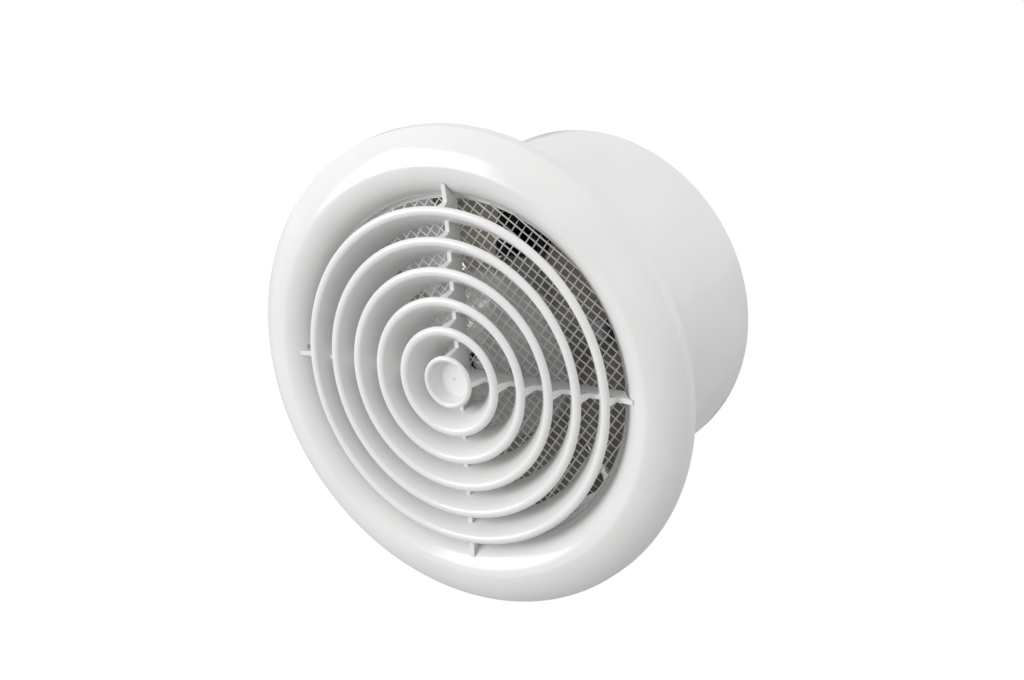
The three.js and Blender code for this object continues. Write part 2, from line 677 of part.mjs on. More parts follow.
const bearing = (front) => ring(SHAFT_R + SEAT, BEARING_R, front, front + BEARING_W, COARSE);
piece('front_bearing', bearing(bearingFront), brass, motorGroup);
piece('rear_bearing', bearing(MOTOR_LENGTH - bearingBack), brass, motorGroup);

const POLE_R = ROTOR_R + AIR_GAP;
const YOKE_R = STATOR_R - STATOR_YOKE;
function statorCore() {
  const yoke = ring(YOKE_R, STATOR_R, STATOR_FRONT, STATOR_BACK, MEDIUM);
  const shoeRing = ring(POLE_R, POLE_R + POLE_SHOE_T, STATOR_FRONT, STATOR_BACK, MEDIUM);
  const shoeHalf = POLE_R * Math.tan(THREE.MathUtils.degToRad(POLE_SHOE_TURN / 2));
  const shoes = around(POLE_COUNT, 0, () =>
    shoeRing.intersect(block(0, STATOR_R, STATOR_FRONT, STATOR_BACK, -shoeHalf, shoeHalf)));
  const teeth = around(POLE_COUNT, 0, () => block(
    POLE_R + POLE_SHOE_T / 2, YOKE_R + STATOR_YOKE / 2, STATOR_FRONT, STATOR_BACK, -POLE_W / 2, POLE_W / 2,
  ));
  const holes = around(BOLT_COUNT, 0, () =>
    at(rod(BOLT_R + SEAT, STATOR_FRONT - SEAT, STATOR_BACK + SEAT, SMALL), BOLT_PCR, 0, 0));
  return cut(joined(yoke, shoes, teeth), holes);
}
piece('stator_core', statorCore(), darkSteel, motorGroup);

// Each coil is a plain block of turns round its pole.
function coil() {
  const inner = POLE_W / 2 + SEAT;
  const low = POLE_R + POLE_SHOE_T + SEAT;
  const high = Math.sqrt(YOKE_R ** 2 - (inner + COIL_T) ** 2) - SEAT;
  const front = STATOR_FRONT - SEAT;
  const back = STATOR_BACK + SEAT;
  const outside = block(low, high, front - COIL_T, back + COIL_T, -inner - COIL_T, inner + COIL_T);
  const inside = block(0, STATOR_R, front, back, -inner, inner);
  return cut(outside, inside);
}
piecesAround('stator_coil', POLE_COUNT, 0, coil(), copper, motorGroup);

const boltFront = -SEAT - BOLT_HEAD_T;
const boltBack = MOTOR_LENGTH + SEAT + BOLT_HEAD_T;
const bolt = at(joined(
  rod(BOLT_R, -SEAT - BOLT_HEAD_T / 2, MOTOR_LENGTH + SEAT + BOLT_HEAD_T / 2, SMALL),
  rod(BOLT_HEAD_R, boltFront, -SEAT, SMALL),
  rod(BOLT_HEAD_R, MOTOR_LENGTH + SEAT, boltBack, HEXAGON),
), BOLT_PCR, 0, 0);
piecesAround('through_bolt', BOLT_COUNT, 0, bolt, steel, motorGroup);

// ---------------------------------------------------------------- bracket, grommets and screws

const armEnd = Math.sqrt((DUCT_IR - FIT) ** 2 - (ARM_W / 2) ** 2);
const ribEnd = ARM_SCREW_R - BRACKET_SCREW_HEAD_R - FIT;
const ribStart = GROMMET_PCR + GROMMET_FLANGE_R + FIT;
function motorBracket() {
  const centre = ring(BRACKET_IR, BRACKET_R, BRACKET_FRONT, BRACKET_BACK, MEDIUM);
  const arms = around(ARM_COUNT, ARM_FIRST, () => joined(
    block(BRACKET_IR + ARM_W / 2, armEnd, BRACKET_FRONT, BRACKET_BACK, -ARM_W / 2, ARM_W / 2),
    block(ribStart, ribEnd, BRACKET_FRONT, BRACKET_BACK + ARM_RIB_H, -ARM_RIB_W / 2, ARM_RIB_W / 2),
  ));
  const hole = (r, pcr) => at(rod(r, BRACKET_FRONT - SEAT, BRACKET_BACK + SEAT, SMALL), pcr, 0, 0);
  const armHoles = around(ARM_COUNT, ARM_FIRST, () => hole(BOLT_R + SEAT, ARM_SCREW_R));
  const grommetHoles = around(GROMMET_COUNT, GROMMET_FIRST, () => hole(GROMMET_WAIST_R + SEAT, GROMMET_PCR));
  return cut(joined(centre, arms), armHoles, grommetHoles);
}
piece('motor_bracket', motorBracket(), darkPlastic);

// A pan-head screw along Y, head at the back, with a cross recess.
function screw(headR, headT, under, reach) {
  const head = rod(headR, under, under + headT, COARSE);
  const top = under + headT;
  const cross = joined(
    block(-RECESS_R, RECESS_R, top - RECESS_DEPTH, top + SEAT, -RECESS_W / 2, RECESS_W / 2),
    block(-RECESS_W / 2, RECESS_W / 2, top - RECESS_DEPTH, top + SEAT, -RECESS_R, RECESS_R),
  );
  return joined(cut(head, cross), rod(BOLT_R, under - reach, under + headT / 4, SMALL));
}
const armScrew = screw(BRACKET_SCREW_HEAD_R, BRACKET_SCREW_HEAD_T, BRACKET_BACK + SEAT, BRACKET_SCREW_LENGTH);
piecesAround('bracket_screw', ARM_COUNT, ARM_FIRST, at(armScrew, ARM_SCREW_R, 0, 0), steel);

const motorBack = MOTOR_FRONT + MOTOR_LENGTH;
const grommetBack = BRACKET_BACK + SEAT + GROMMET_FLANGE_T;
function grommet() {
  return at(turned([
    [BOLT_R + SEAT, motorBack + SEAT],
    [GROMMET_FLANGE_R, motorBack + SEAT],
    [GROMMET_FLANGE_R, BRACKET_FRONT - SEAT],
    [GROMMET_WAIST_R, BRACKET_FRONT - SEAT],
    [GROMMET_WAIST_R, BRACKET_BACK + SEAT],
    [GROMMET_FLANGE_R, BRACKET_BACK + SEAT],
    [GROMMET_FLANGE_R, grommetBack],
    [BOLT_R + SEAT, grommetBack],
  ], COARSE), GROMMET_PCR, 0, 0);
}
piecesAround('vibration_grommet', GROMMET_COUNT, GROMMET_FIRST, grommet(), rubber);

const motorScrewReach = grommetBack + SEAT - motorBack + MOTOR_SCREW_REACH;
const motorScrew = screw(MOTOR_SCREW_HEAD_R, MOTOR_SCREW_HEAD_T, grommetBack + SEAT, motorScrewReach);
piecesAround('motor_screw', GROMMET_COUNT, GROMMET_FIRST, at(motorScrew, GROMMET_PCR, 0, 0), steel);

// ---------------------------------------------------------------- terminal box
// Drawn from the bracket's back face: y = 0 there.

const terminals = new THREE.Group();
terminals.position.y = BRACKET_BACK + SEAT;
fan.add(terminals);

const blockFront = BASE_T + SEAT;
const blockBack = blockFront + BLOCK_DEPTH;
const blockLow = -BLOCK_DROP;
const blockHigh = blockLow + BLOCK_HEIGHT;
const poleX = [-POLE_PITCH, 0, POLE_PITCH];
const poleZ = (blockLow + blockHigh) / 2;
const leadPassR = LEAD_X + LEAD_R + SEAT;
const saddleBack = BASE_T + CLAMP_SADDLE;
const clampLow = -CLAMP_DROP;
const clampHigh = clampLow + CLAMP_H;
const clampMid = (clampLow + clampHigh) / 2;
const cableY = saddleBack + CLAMP_CABLE_R / 2;

// A bore along Z, from one height to another.
const boreZ = (r, low, high, segments) => rod(r, low, high, segments).rotate([90, 0, 0]);

function terminalBase() {
  const floor = block(-BOX_HALF_W, BOX_HALF_W, 0, BASE_T, -BOX_HALF_H, BOX_HALF_H);
  const saddle = block(-BOX_HALF_W + FIT, BOX_HALF_W - FIT, BASE_T / 2, saddleBack, clampLow, clampHigh);
  const groove = at(boreZ(CLAMP_CABLE_R, clampLow - FIT, clampHigh + FIT, COARSE), 0, cableY, 0);
  const pilots = [-CLAMP_SCREW_X, CLAMP_SCREW_X].map((x) =>
    at(rod(CLAMP_SCREW_R + SEAT, BASE_T, saddleBack + SEAT, SMALL), x, 0, clampMid));
  const leadPass = at(rod(leadPassR, -SEAT, BASE_T + SEAT, COARSE), 0, 0, LEAD_Z);
  return cut(joined(floor, saddle), groove, pilots, leadPass);
}
piece('terminal_base', terminalBase(), darkPlastic, terminals);

function terminalBlock() {
  const body = block(-BLOCK_HALF_W, BLOCK_HALF_W, blockFront, blockBack, blockLow, blockHigh);
  const wells = poleX.map((x) =>
    at(rod(TERMINAL_SCREW_R + SEAT, blockBack - TERMINAL_WELL_DEPTH, blockBack + SEAT, SMALL), x, 0, poleZ));
  const entryY = blockFront + BLOCK_DEPTH / 4;
  const entries = poleX.map((x) =>
    at(boreZ(LEAD_R + SEAT, blockLow - FIT, blockLow + BLOCK_HEIGHT / 4, SMALL), x, entryY, 0));
  return cut(body, wells, entries);
}
piece('terminal_block', terminalBlock(), netPlastic, terminals);

function terminalScrew(x) {
  const back = blockBack - TERMINAL_WELL_DEPTH + SEAT + TERMINAL_SCREW_L;
  const body = rod(TERMINAL_SCREW_R, back - TERMINAL_SCREW_L, back, SMALL);
  const slot = block(
    -TERMINAL_SCREW_R, TERMINAL_SCREW_R, back - TERMINAL_SLOT_DEPTH, back + SEAT,
    -TERMINAL_SLOT_W / 2, TERMINAL_SLOT_W / 2,
  );
  return at(cut(body, slot), x, 0, poleZ);
}
poleX.forEach((x, i) => piece(`terminal_screw_${i + 1}`, terminalScrew(x), brass, terminals));

const lidInnerW = BOX_HALF_W + SEAT;
const lidInnerH = BOX_HALF_H + SEAT;
const lidLow = -lidInnerH - COVER_T;
function terminalCover() {
  const outside = block(
    -lidInnerW - COVER_T, lidInnerW + COVER_T, SEAT, BOX_DEPTH, lidLow, lidInnerH + COVER_T,
  );
  const inside = block(-lidInnerW, lidInnerW, -SEAT, BOX_DEPTH - COVER_T, -lidInnerH, lidInnerH);
  const bushHole = at(boreZ(BUSH_WAIST_R + SEAT, lidLow - SEAT, -lidInnerH + SEAT, COARSE), 0, cableY, 0);
  return cut(outside, inside, bushHole);
}
piece('terminal_cover', terminalCover(), darkPlastic, terminals);

const barFront = cableY + CLAMP_CABLE_R;
function cableClamp() {
  const bar = block(-BOX_HALF_W + FIT, BOX_HALF_W - FIT, barFront, barFront + CLAMP_BAR_T, clampLow, clampHigh);
  const feet = [-1, 1].map((side) => block(
    side * CLAMP_SCREW_X - CLAMP_HEAD_R, side * CLAMP_SCREW_X + CLAMP_HEAD_R,
    saddleBack + SEAT, barFront + CLAMP_BAR_T / 2, clampLow, clampHigh,
  ));
  const holes = [-CLAMP_SCREW_X, CLAMP_SCREW_X].map((x) =>
    at(rod(CLAMP_SCREW_R + SEAT, saddleBack, barFront + CLAMP_BAR_T + SEAT, SMALL), x, 0, clampMid));
  return cut(joined(bar, feet), holes);
}
piece('cable_clamp', cableClamp(), netPlastic, terminals);

function clampScrew(x) {
  const under = barFront + CLAMP_BAR_T + SEAT;
  return at(joined(
    rod(CLAMP_SCREW_R, BASE_T + SEAT, under + CLAMP_HEAD_T / 2, SMALL),
    rod(CLAMP_HEAD_R, under, under + CLAMP_HEAD_T, SMALL),
  ), x, 0, clampMid);
}
const clampScrewX = [-CLAMP_SCREW_X, CLAMP_SCREW_X];
clampScrewX.forEach((x, i) => piece(`clamp_screw_${i + 1}`, clampScrew(x), steel, terminals));

// Rubber bush where a supply cable enters the terminal cover. No cable is shown, so its bore is empty.
function cableBush() {
  const out = BUSH_FLANGE_T + SEAT;
  const profile = [
    [BUSH_BORE_R, -out],
    [BUSH_FLANGE_R, -out],
    [BUSH_FLANGE_R, -SEAT],
    [BUSH_WAIST_R, -SEAT],
    [BUSH_WAIST_R, COVER_T + SEAT],
    [BUSH_FLANGE_R, COVER_T + SEAT],
    [BUSH_FLANGE_R, COVER_T + out],
    [BUSH_BORE_R, COVER_T + out],
  ];
  return at(turned(profile, COARSE).rotate([90, 0, 0]), 0, cableY, lidLow);
}
piece('cable_bush', cableBush(), rubber, terminals);

// ---------------------------------------------------------------- leads

const leadGrommetFront = MOTOR_LENGTH - MOTOR_SHELL_T - SEAT - LEAD_GROMMET_FLANGE_T;
const leadGrommetBack = MOTOR_LENGTH + SEAT + LEAD_GROMMET_FLANGE_T;
function leadGrommet() {
  const body = turned([
    [0, leadGrommetFront],
    [LEAD_GROMMET_FLANGE_R, leadGrommetFront],
    [LEAD_GROMMET_FLANGE_R, MOTOR_LENGTH - MOTOR_SHELL_T - SEAT],
    [LEAD_GROMMET_R, MOTOR_LENGTH - MOTOR_SHELL_T - SEAT],
    [LEAD_GROMMET_R, MOTOR_LENGTH + SEAT],
    [LEAD_GROMMET_FLANGE_R, MOTOR_LENGTH + SEAT],
    [LEAD_GROMMET_FLANGE_R, leadGrommetBack],
    [0, leadGrommetBack],
  ], COARSE);
  return at(body, 0, 0, LEAD_Z);
}
piece('lead_grommet', leadGrommet(), rubber, motorGroup);

// A lead leaves the grommet, passes the bracket and the base, and bends down to the block's upper side.
function lead(side) {
  const start = motorBack + SEAT + LEAD_GROMMET_FLANGE_T + SEAT;
  const bend = BRACKET_BACK + SEAT + BASE_T + FIT;
  const end = BRACKET_BACK + SEAT + blockFront + BLOCK_DEPTH / 2;
  const route = new THREE.CatmullRomCurve3([
    new THREE.Vector3(side * LEAD_X, start, LEAD_Z),
    new THREE.Vector3(side * LEAD_X, (start + bend) / 2, LEAD_Z),
    new THREE.Vector3(side * LEAD_X, bend, LEAD_Z),
    new THREE.Vector3(side * (LEAD_X + POLE_PITCH) / 2, end - LEAD_R, (LEAD_Z + blockHigh) / 2 + LEAD_R),
    new THREE.Vector3(side * POLE_PITCH, end, blockHigh + SEAT),
  ]);
  const section = new THREE.Shape();
  section.absarc(0, 0, LEAD_R, 0, Math.PI * 2);
  return toSolid(new THREE.ExtrudeGeometry(section, { steps: 8, extrudePath: route, curveSegments: 4 }));
}
piece('lead_live', lead(1), brownLead);
piece('lead_neutral', lead(-1), blueLead);

export default fan;
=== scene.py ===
"""Round-flanged axial extractor fan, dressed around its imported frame. Lengths are metres, in the frame's axes:
the duct's axis is Y, the face looks towards -Y, +Z is up, and y = 0 is the wall plane behind the flange."""

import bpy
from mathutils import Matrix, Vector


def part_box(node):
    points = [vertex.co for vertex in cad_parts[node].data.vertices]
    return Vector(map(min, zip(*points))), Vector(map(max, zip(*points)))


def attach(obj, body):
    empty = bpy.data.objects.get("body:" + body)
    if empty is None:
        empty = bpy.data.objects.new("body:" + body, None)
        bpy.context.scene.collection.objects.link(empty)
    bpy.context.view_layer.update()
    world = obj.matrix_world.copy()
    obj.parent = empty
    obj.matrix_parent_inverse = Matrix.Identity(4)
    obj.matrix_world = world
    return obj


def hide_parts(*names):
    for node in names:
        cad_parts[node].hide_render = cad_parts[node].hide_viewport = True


bl_info = {
    "name": "Axial extractor fan",
    "version": (1, 0, 0),
    "blender": (4, 5, 0),
    "location": "3D View > Sidebar > Extractor fan",
    "description": "Shells, grille, net, impeller, motor and finishes of a round-flanged duct fan",
    "category": "Object",
}

import math

import bmesh
import bpy
import numpy as np
from bpy.props import FloatProperty, FloatVectorProperty, IntProperty, PointerProperty
from bpy.types import Operator, Panel, PropertyGroup
from mathutils import Matrix, Vector

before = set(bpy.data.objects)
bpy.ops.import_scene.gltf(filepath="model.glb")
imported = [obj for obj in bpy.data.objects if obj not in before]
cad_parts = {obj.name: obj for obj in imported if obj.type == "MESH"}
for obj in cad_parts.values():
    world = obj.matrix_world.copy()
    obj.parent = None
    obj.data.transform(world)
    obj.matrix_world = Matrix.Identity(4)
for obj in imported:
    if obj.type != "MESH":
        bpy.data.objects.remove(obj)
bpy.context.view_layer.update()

MM = 0.001
SEAT = 0.3 * MM        # gap between two pieces that rest on each other
WELD = 0.0005 * MM     # points nearer than this are one point
SMOOTH_UNDER = math.radians(32)
ROUND = 192            # steps round the large turned pieces
MIDDLE = 96            # steps round the motor and the hub
SMALL = 40             # steps round screws, grommets and bushes
QUARTER = math.pi / 2
EIGHTH = math.pi / 4
MIRRORED = 0.3         # share of the white surroundings that reflections show
SHARP_OVER = math.radians(50)   # edges sharper than this are rounded where a piece asks for it
HAIR, FINE, SOFT, BROAD = 0.1 * MM, 0.2 * MM, 0.3 * MM, 0.5 * MM   # edge roundings, from crisp to generous
WALL_STEPS = 14        # steps along each ring's bowed wall
LONG_STEP = 12 * MM    # a long straight run is cut into steps of about this
BEAD_TURN = math.radians(6)      # half of a snap bead's reach round the rim
NOTCH_STEP = math.radians(0.03)  # slope of the prising notch's end walls
CROSS_RECESS = (1.8 * MM, 0.8 * MM, 1.0 * MM)   # a screw head's cross: its reach, its width, its depth
INTO_HEAD = 0.4 * MM   # how far a screw's shank runs up into its head
SCREW_GRIP = 2.4 * MM  # how far a motor screw runs into the motor's rear shell


# ---------------------------------------------------------------- settings

def length(name, description, millimetres):
    return FloatProperty(name=name, description=description, default=millimetres * MM, min=0.0,
                         precision=5, subtype="DISTANCE", unit="LENGTH")


def angle(name, description, degrees):
    return FloatProperty(name=name, description=description, default=math.radians(degrees),
                         subtype="ANGLE", unit="ROTATION")


def linear(code):
    """The linear colour of an sRGB hex value, by the sRGB curve."""
    value = np.array([int(code[i:i + 2], 16) for i in (1, 3, 5)]) / 255
    curve = np.where(value <= 0.04045, value / 12.92, ((value + 0.055) / 1.055) ** 2.4)
    return (*curve.tolist(), 1.0)


def colour(name, description, code):
    return FloatVectorProperty(name=name, description=description, default=linear(code), size=4,
                               min=0.0, max=1.0, subtype="COLOR")


class CoverSizes(PropertyGroup):
    rim_radius: length("Rim radius", "Outside of the cover where it meets the wall", 82.1)
    corner_radius: length("Rim corner radius", "Where the rim turns into the domed face", 81.8)
    corner_depth: length("Rim corner depth", "The rim corner in front of the wall", 3.6)
    face_turn: angle("Face turn", "How far the domed face's arc turns", 42)
    crest_radius: length("Crest radius", "Circle of the cover's foremost line", 70.0)
    crest_depth: length("Crest depth", "The crest in front of the wall", 9.9)
    funnel_turn: angle("Funnel turn", "How far the inward funnel's arc turns", 56)
    opening_radius: length("Opening radius", "Inner edge of the funnel", 60.3)
    opening_depth: length("Opening depth", "The opening's edge in front of the wall", 3.4)
    wall: length("Wall", "Moulding's wall thickness", 2.2)
    notch_reach: length("Notch reach", "Prising notch, out from the opening", 2.4)
    notch_width: length("Notch width", "Prising notch, along the opening", 1.3)


class DuctSizes(PropertyGroup):
    radius: length("Radius", "Outside of the spigot", 61.5)
    wall: length("Wall", "Spigot's wall thickness", 2.2)
    length: length("Length", "Spigot's end behind the wall plane", 81.8)
    flange_radius: length("Flange radius", "Outside of the mounting flange", 79.5)
    flange_thickness: length("Flange thickness", "Mounting flange", 2.4)
    edge_thickness: length("Edge thickness", "Flange's thin edge for the cover's beads", 1.2)
    edge_width: length("Edge width", "Width of the flange's thin edge", 2.4)
    hole_radius: length("Hole radius", "Wall screw holes", 2.3)
    lug_width: length("Lug width", "Bracket lugs inside the bore", 13.0)
    lug_depth: length("Lug depth", "Bracket lugs, in from the bore", 8.0)
    lug_length: length("Lug length", "Bracket lugs, along the duct", 10.0)


class GrilleSizes(PropertyGroup):
    rings: IntProperty(name="Rings", description="Funnel rings round the cup", default=5, min=1, max=9)
    cup_radius: length("Cup radius", "Centre line of the cup's lip", 8.0)
    floor_radius: length("Floor radius", "Flat floor of the cup", 5.5)
    cup_depth: length("Cup depth", "Floor behind the lip's centre line", 3.4)
    floor: length("Floor thickness", "Floor of the cup", 1.5)
    outer_radius: length("Outer ring radius", "Centre line of the widest ring's lip", 56.75)
    lip: length("Lip", "Cup lip's radius, and how far each ring's lip stands in front of its centre line", 1.0)
    roll: length("Roll", "Radius at which a ring's lip rolls over from its funnel to the front", 1.9)
    roll_in: length("Roll line", "From a ring's centre line in to its foremost line", 0.5)
    corner: length("Corner", "Outer corner of a ring's lip", 0.7)
    corner_turn: angle("Corner turn", "From a lip's foremost line out to its corner", 45)
    front: length("Front", "Cup lip's centre line in front of the wall", 14.0)
    depth: length("Depth", "From the cup lip's centre line to the rings' rear edges", 12.1)
    dome_drop: length("Dome drop", "Widest ring's lip behind the cup's lip", 3.1)
    vane: angle("Vane angle", "Lean of each ring's wall at its lip, from the axis", 40)
    inset: length("Inset", "From a ring's centre line in to its rear edge", 7.2)
    flare: angle("Cup flare", "Lean of the cup's outer side from the axis", 37.5)
    edge: length("Rear edge", "Thickness of the rings' rear edges", 0.9)
    spoke: length("Spoke thickness", "Upright plates that carry the rings", 1.65)
    set_back: length("Spoke set-back", "Spokes' front edges behind the cup's lip", 6.2)
    gusset: length("Gusset", "How far each gusset reaches past its lip", 0.9)
    foot: length("Gusset foot", "Width of a gusset where it meets its lip", 3.0)
    tip_radius: length("Spoke tip", "Outer end of the spokes' front edges", 64.8)
    neck_radius: length("Neck", "Spokes' and net's outer radius inside the bore", 58.9)


class NetSizes(PropertyGroup):
    pitch: length("Pitch", "From strand to strand in the front layer", 2.95)
    turn: angle("Turn", "Front layer, from +X towards +Z", -36.25)
    shift: length("Shift", "Front layer's strand nearest the axis", 1.99)
    cross_pitch: length("Cross pitch", "From strand to strand in the rear layer", 2.78)
    cross_turn: angle("Cross turn", "Rear layer, from +X towards +Z", 54.75)
    cross_shift: length("Cross shift", "Rear layer's strand nearest the axis", 1.23)
    strand: length("Strand", "Thickness of one strand", 0.5)
    wander: length("Wander", "How far a strand strays from straight", 0.06)
    front: length("Front", "Net's front in front of the wall plane", 1.6)
    thickness: length("Thickness", "Net's moulded rim", 0.5)
    rim: length("Rim", "Width of the net's moulded rim", 0.35)
    reach: length("Reach", "Outside of the rim, a sliding fit in the bore", 59.2)
    ring_width: length("Ring width", "Ring that backs the net", 1.0)
    ring_thickness: length("Ring thickness", "Ring that backs the net", 1.2)


class ImpellerSizes(PropertyGroup):
    blades: IntProperty(name="Blades", description="Blades round the hub", default=6, min=2, max=12)
    hub_radius: length("Hub radius", "Skirt of the hub", 30.0)
    wall: length("Hub wall", "Wall of the hub", 2.0)
    nose: length("Nose", "Hub's nose behind the wall plane", 3.5)
    dome: length("Dome", "From the nose to the hub's shoulder", 13.5)
    skirt: length("Skirt", "From the shoulder to the hub's rear edge", 13.0)
    hole_radius: length("Nose hole", "Recess in the nose for the clip", 4.6)
    boss_radius: length("Boss radius", "Boss round the shaft", 6.5)
    boss_back: length("Boss back", "From the nose to the boss's rear end", 10.0)
    boss_front: length("Boss front", "From the nose to the boss's front end", 3.2)
    tip_radius: length("Tip radius", "Blade tips", 57.7)
    lead: angle("Lead", "First leading edge, from +X towards +Z", 25)
    lean: angle("Lean", "Leading edge's lean at the tip", 4)
    sweep: angle("Sweep", "How far one blade reaches round the axis", 43)
    root_front: length("Root front", "Blade root's front in front of the shoulder", 2.5)
    tip_front: length("Tip front", "Blade tip's front in front of the shoulder", 6.0)
    back_in: length("Back", "Blade's rear edge in front of the skirt's", 1.0)
    thickness: length("Blade thickness", "Blade's thickness and camber", 1.5)
    tip_corner: angle("Tip corner", "Rounding of a blade's tip corners", 4.5)


class MotorSizes(PropertyGroup):
    radius: length("Radius", "Outside of the motor", 26.0)
    shell: length("Shell", "Pressed steel thickness", 1.5)
    front: length("Front", "Motor's front face behind the wall plane", 18.0)
    length: length("Length", "From the motor's front face to its back", 34.0)
    seat_radius: length("Bearing seat", "Outside of the bearing seats", 8.0)
    seat_out: length("Seat stand-out", "How far each bearing seat stands out", 3.0)
    shaft: length("Shaft radius", "Motor shaft", 2.5)
    bolt_circle: length("Bolt circle", "Pitch radius of the through bolts", 21.4)
    bolt: length("Bolt radius", "Through bolts and screws", 1.5)
    bolt_head: length("Bolt head", "Radius of the through bolts' heads", 2.7)
    bolt_head_height: length("Head height", "Height of the through bolts' heads", 1.5)


class BracketSizes(PropertyGroup):
    front: length("Front", "Bracket's front face behind the wall plane", 55.0)
    thickness: length("Thickness", "Bracket plate", 3.0)
    inner_radius: length("Inner radius", "Centre plate's hole", 14.5)
    outer_radius: length("Outer radius", "Centre plate's outside", 35.0)
    arm_lead: angle("Arm lead", "First arm, from +X towards +Z", 26)
    arm_width: length("Arm width", "Arms out to the duct's lugs", 11.5)
    rib_width: length("Rib width", "Stiffening rib on each arm", 2.4)
    rib_height: length("Rib height", "Stiffening rib on each arm", 3.0)
    grommet_circle: length("Grommet circle", "Pitch radius of the rubber grommets", 21.0)
    grommet_waist: length("Grommet waist", "Grommet inside the bracket's hole", 2.8)
    grommet_flange: length("Grommet flange", "Radius of the grommets' flanges", 4.2)
    flange_thickness: length("Flange thickness", "Grommets' flanges", 1.6)
    screw_circle: length("Screw circle", "Pitch radius of the bracket's screws", 55.3)
    head_radius: length("Head radius", "Pan heads of all the bracket's screws", 3.0)
    head_height: length("Head height", "Pan heads of all the bracket's screws", 2.0)
    screw_length: length("Screw length", "Bracket screws below the head", 9.0)


class BoxSizes(PropertyGroup):
    wall: length("Cover wall", "Terminal cover", 1.2)
    bush_radius: length("Bush radius", "Flange of the cable bush", 5.0)
    bush_bore: length("Bush bore", "Bore of the cable bush", 2.8)
    lead_radius: length("Lead radius", "Outside of a lead's insulation", 0.8)


class StageSettings(PropertyGroup):
    azimuth: angle("Azimuth", "Camera's turn from the face towards +X", 33.03)
    elevation: angle("Elevation", "Camera's height angle", 18.82)
    roll: angle("Roll", "Camera's roll", -4.01)
    distance: length("Distance", "From the camera to the point it aims at", 621.5)
    lens: FloatProperty(name="Lens", description="Focal length on a 36 mm sensor", default=67.69, min=1.0,
                        unit="CAMERA")
    floor_drop: length("Floor drop", "Floor below the duct's axis", 350.0)
    fill: FloatProperty(name="Fill", description="Even light from all round", default=0.74, min=0.0)
    key: FloatProperty(name="Key", description="Soft box at the front left", default=8.5, min=0.0, unit="POWER")
    key_azimuth: angle("Key azimuth", "Key's turn from the face towards +X", -40)
    key_elevation: angle("Key elevation", "Key's height angle", 14)
    side: FloatProperty(name="Side", description="Soft box at the right", default=3.5, min=0.0, unit="POWER")
    side_azimuth: angle("Side azimuth", "Side box's turn from the face towards +X", 100)
    side_elevation: angle("Side elevation", "Side box's height angle", 45)


class FinishColours(PropertyGroup):
    white: colour("White plastic", "Front cover, grille and duct", "#F0F0EF")
    white_dark: colour("White plastic, deep", "Slow clouding in the white plastic", "#EBEBEA")
    net: colour("Net", "Insect net", "#FAFAF8")
    # Painted light and shade: the hub and the blades are one moulding, and these two tones are its lit hub and
    # its shaded blades.
    impeller: colour("Impeller hub", "Impeller moulding's thick hub", "#E2E2E0")
    blade: colour("Impeller blades", "Impeller moulding's thin blades", "#A0988A")
    dark: colour("Bracket", "Glass-filled nylon", "#393A39")
    rubber: colour("Rubber", "Grommets and bush", "#1E1E1E")
    steel: colour("Steel", "Zinc-plated steel", "#B4B6B8")
    brass: colour("Brass", "Bearings and terminal screws", "#B79B5B")
    copper: colour("Copper", "Enamelled windings", "#A5562E")
    live: colour("Live lead", "Insulation", "#5A3420")
    neutral: colour("Neutral lead", "Insulation", "#2C4F8A")


# ---------------------------------------------------------------- surfaces
# A surface is (points, quads, caps): an N x 3 array, an M x 4 array of point numbers, and a list of flat
# polygons' point numbers.

def grid_faces(rows, columns, wrap_rows=False, wrap_columns=False):
    """Quads between neighbours on a grid of rows x columns points. A wrapped direction joins its last line to
    its first."""
    i, j = np.meshgrid(np.arange(rows if wrap_rows else rows - 1),
                       np.arange(columns if wrap_columns else columns - 1), indexing="ij")
    i_next, j_next = (i + 1) % rows, (j + 1) % columns
    return np.stack([i * columns + j, i_next * columns + j, i_next * columns + j_next, i * columns + j_next],
                    axis=-1).reshape(-1, 4)


def joined(*surfaces):
    """Several surfaces as one: each one's faces count on from the points before it."""
    starts = np.cumsum([0] + [len(points) for points, _, _ in surfaces])
    points = np.concatenate([points for points, _, _ in surfaces])
    quads = np.concatenate([quads + start for (_, quads, _), start in zip(surfaces, starts)])
    caps = [cap + start for (_, _, several), start in zip(surfaces, starts) for cap in several]
    return points, quads, caps


def moved(surface, x=0.0, y=0.0, z=0.0):
    points, quads, caps = surface
    return points + np.array([x, y, z]), quads, caps


def swung(surface, turn):
    """The surface turned about the duct's axis, from +X towards +Z."""
    points, quads, caps = surface
    x, y, z = points.T
    cos, sin = math.cos(turn), math.sin(turn)
    return np.stack([x * cos - z * sin, y, x * sin + z * cos], axis=-1), quads, caps


def upright(surface):
    """The surface with its axis, which lay along Y, stood along Z."""
    points, quads, caps = surface
    x, y, z = points.T
    return np.stack([x, -z, y], axis=-1), quads, caps


def arc(start, end, turn, steps, inset=0.0):
    """A circular arc in the (radius, depth) plane that bulges to the front: centre + radius times the cosine and
    sine of even angles, over as many radians as it turns. Inset takes it nearer to its centre."""
    start, end = np.array(start), np.array(end)
    chord = end - start
    along = chord / np.linalg.norm(chord)
    back = np.array([-along[1], along[0]])
    back = back if back[1] > 0 else -back
    radius = np.linalg.norm(chord) / 2 / math.sin(turn / 2)
    centre = (start + end) / 2 + back * radius * math.cos(turn / 2)
    at = np.linspace(-turn / 2, turn / 2, steps + 1)[:, None]
    return centre + (radius - inset) * (along * np.sin(at) - back * np.cos(at))


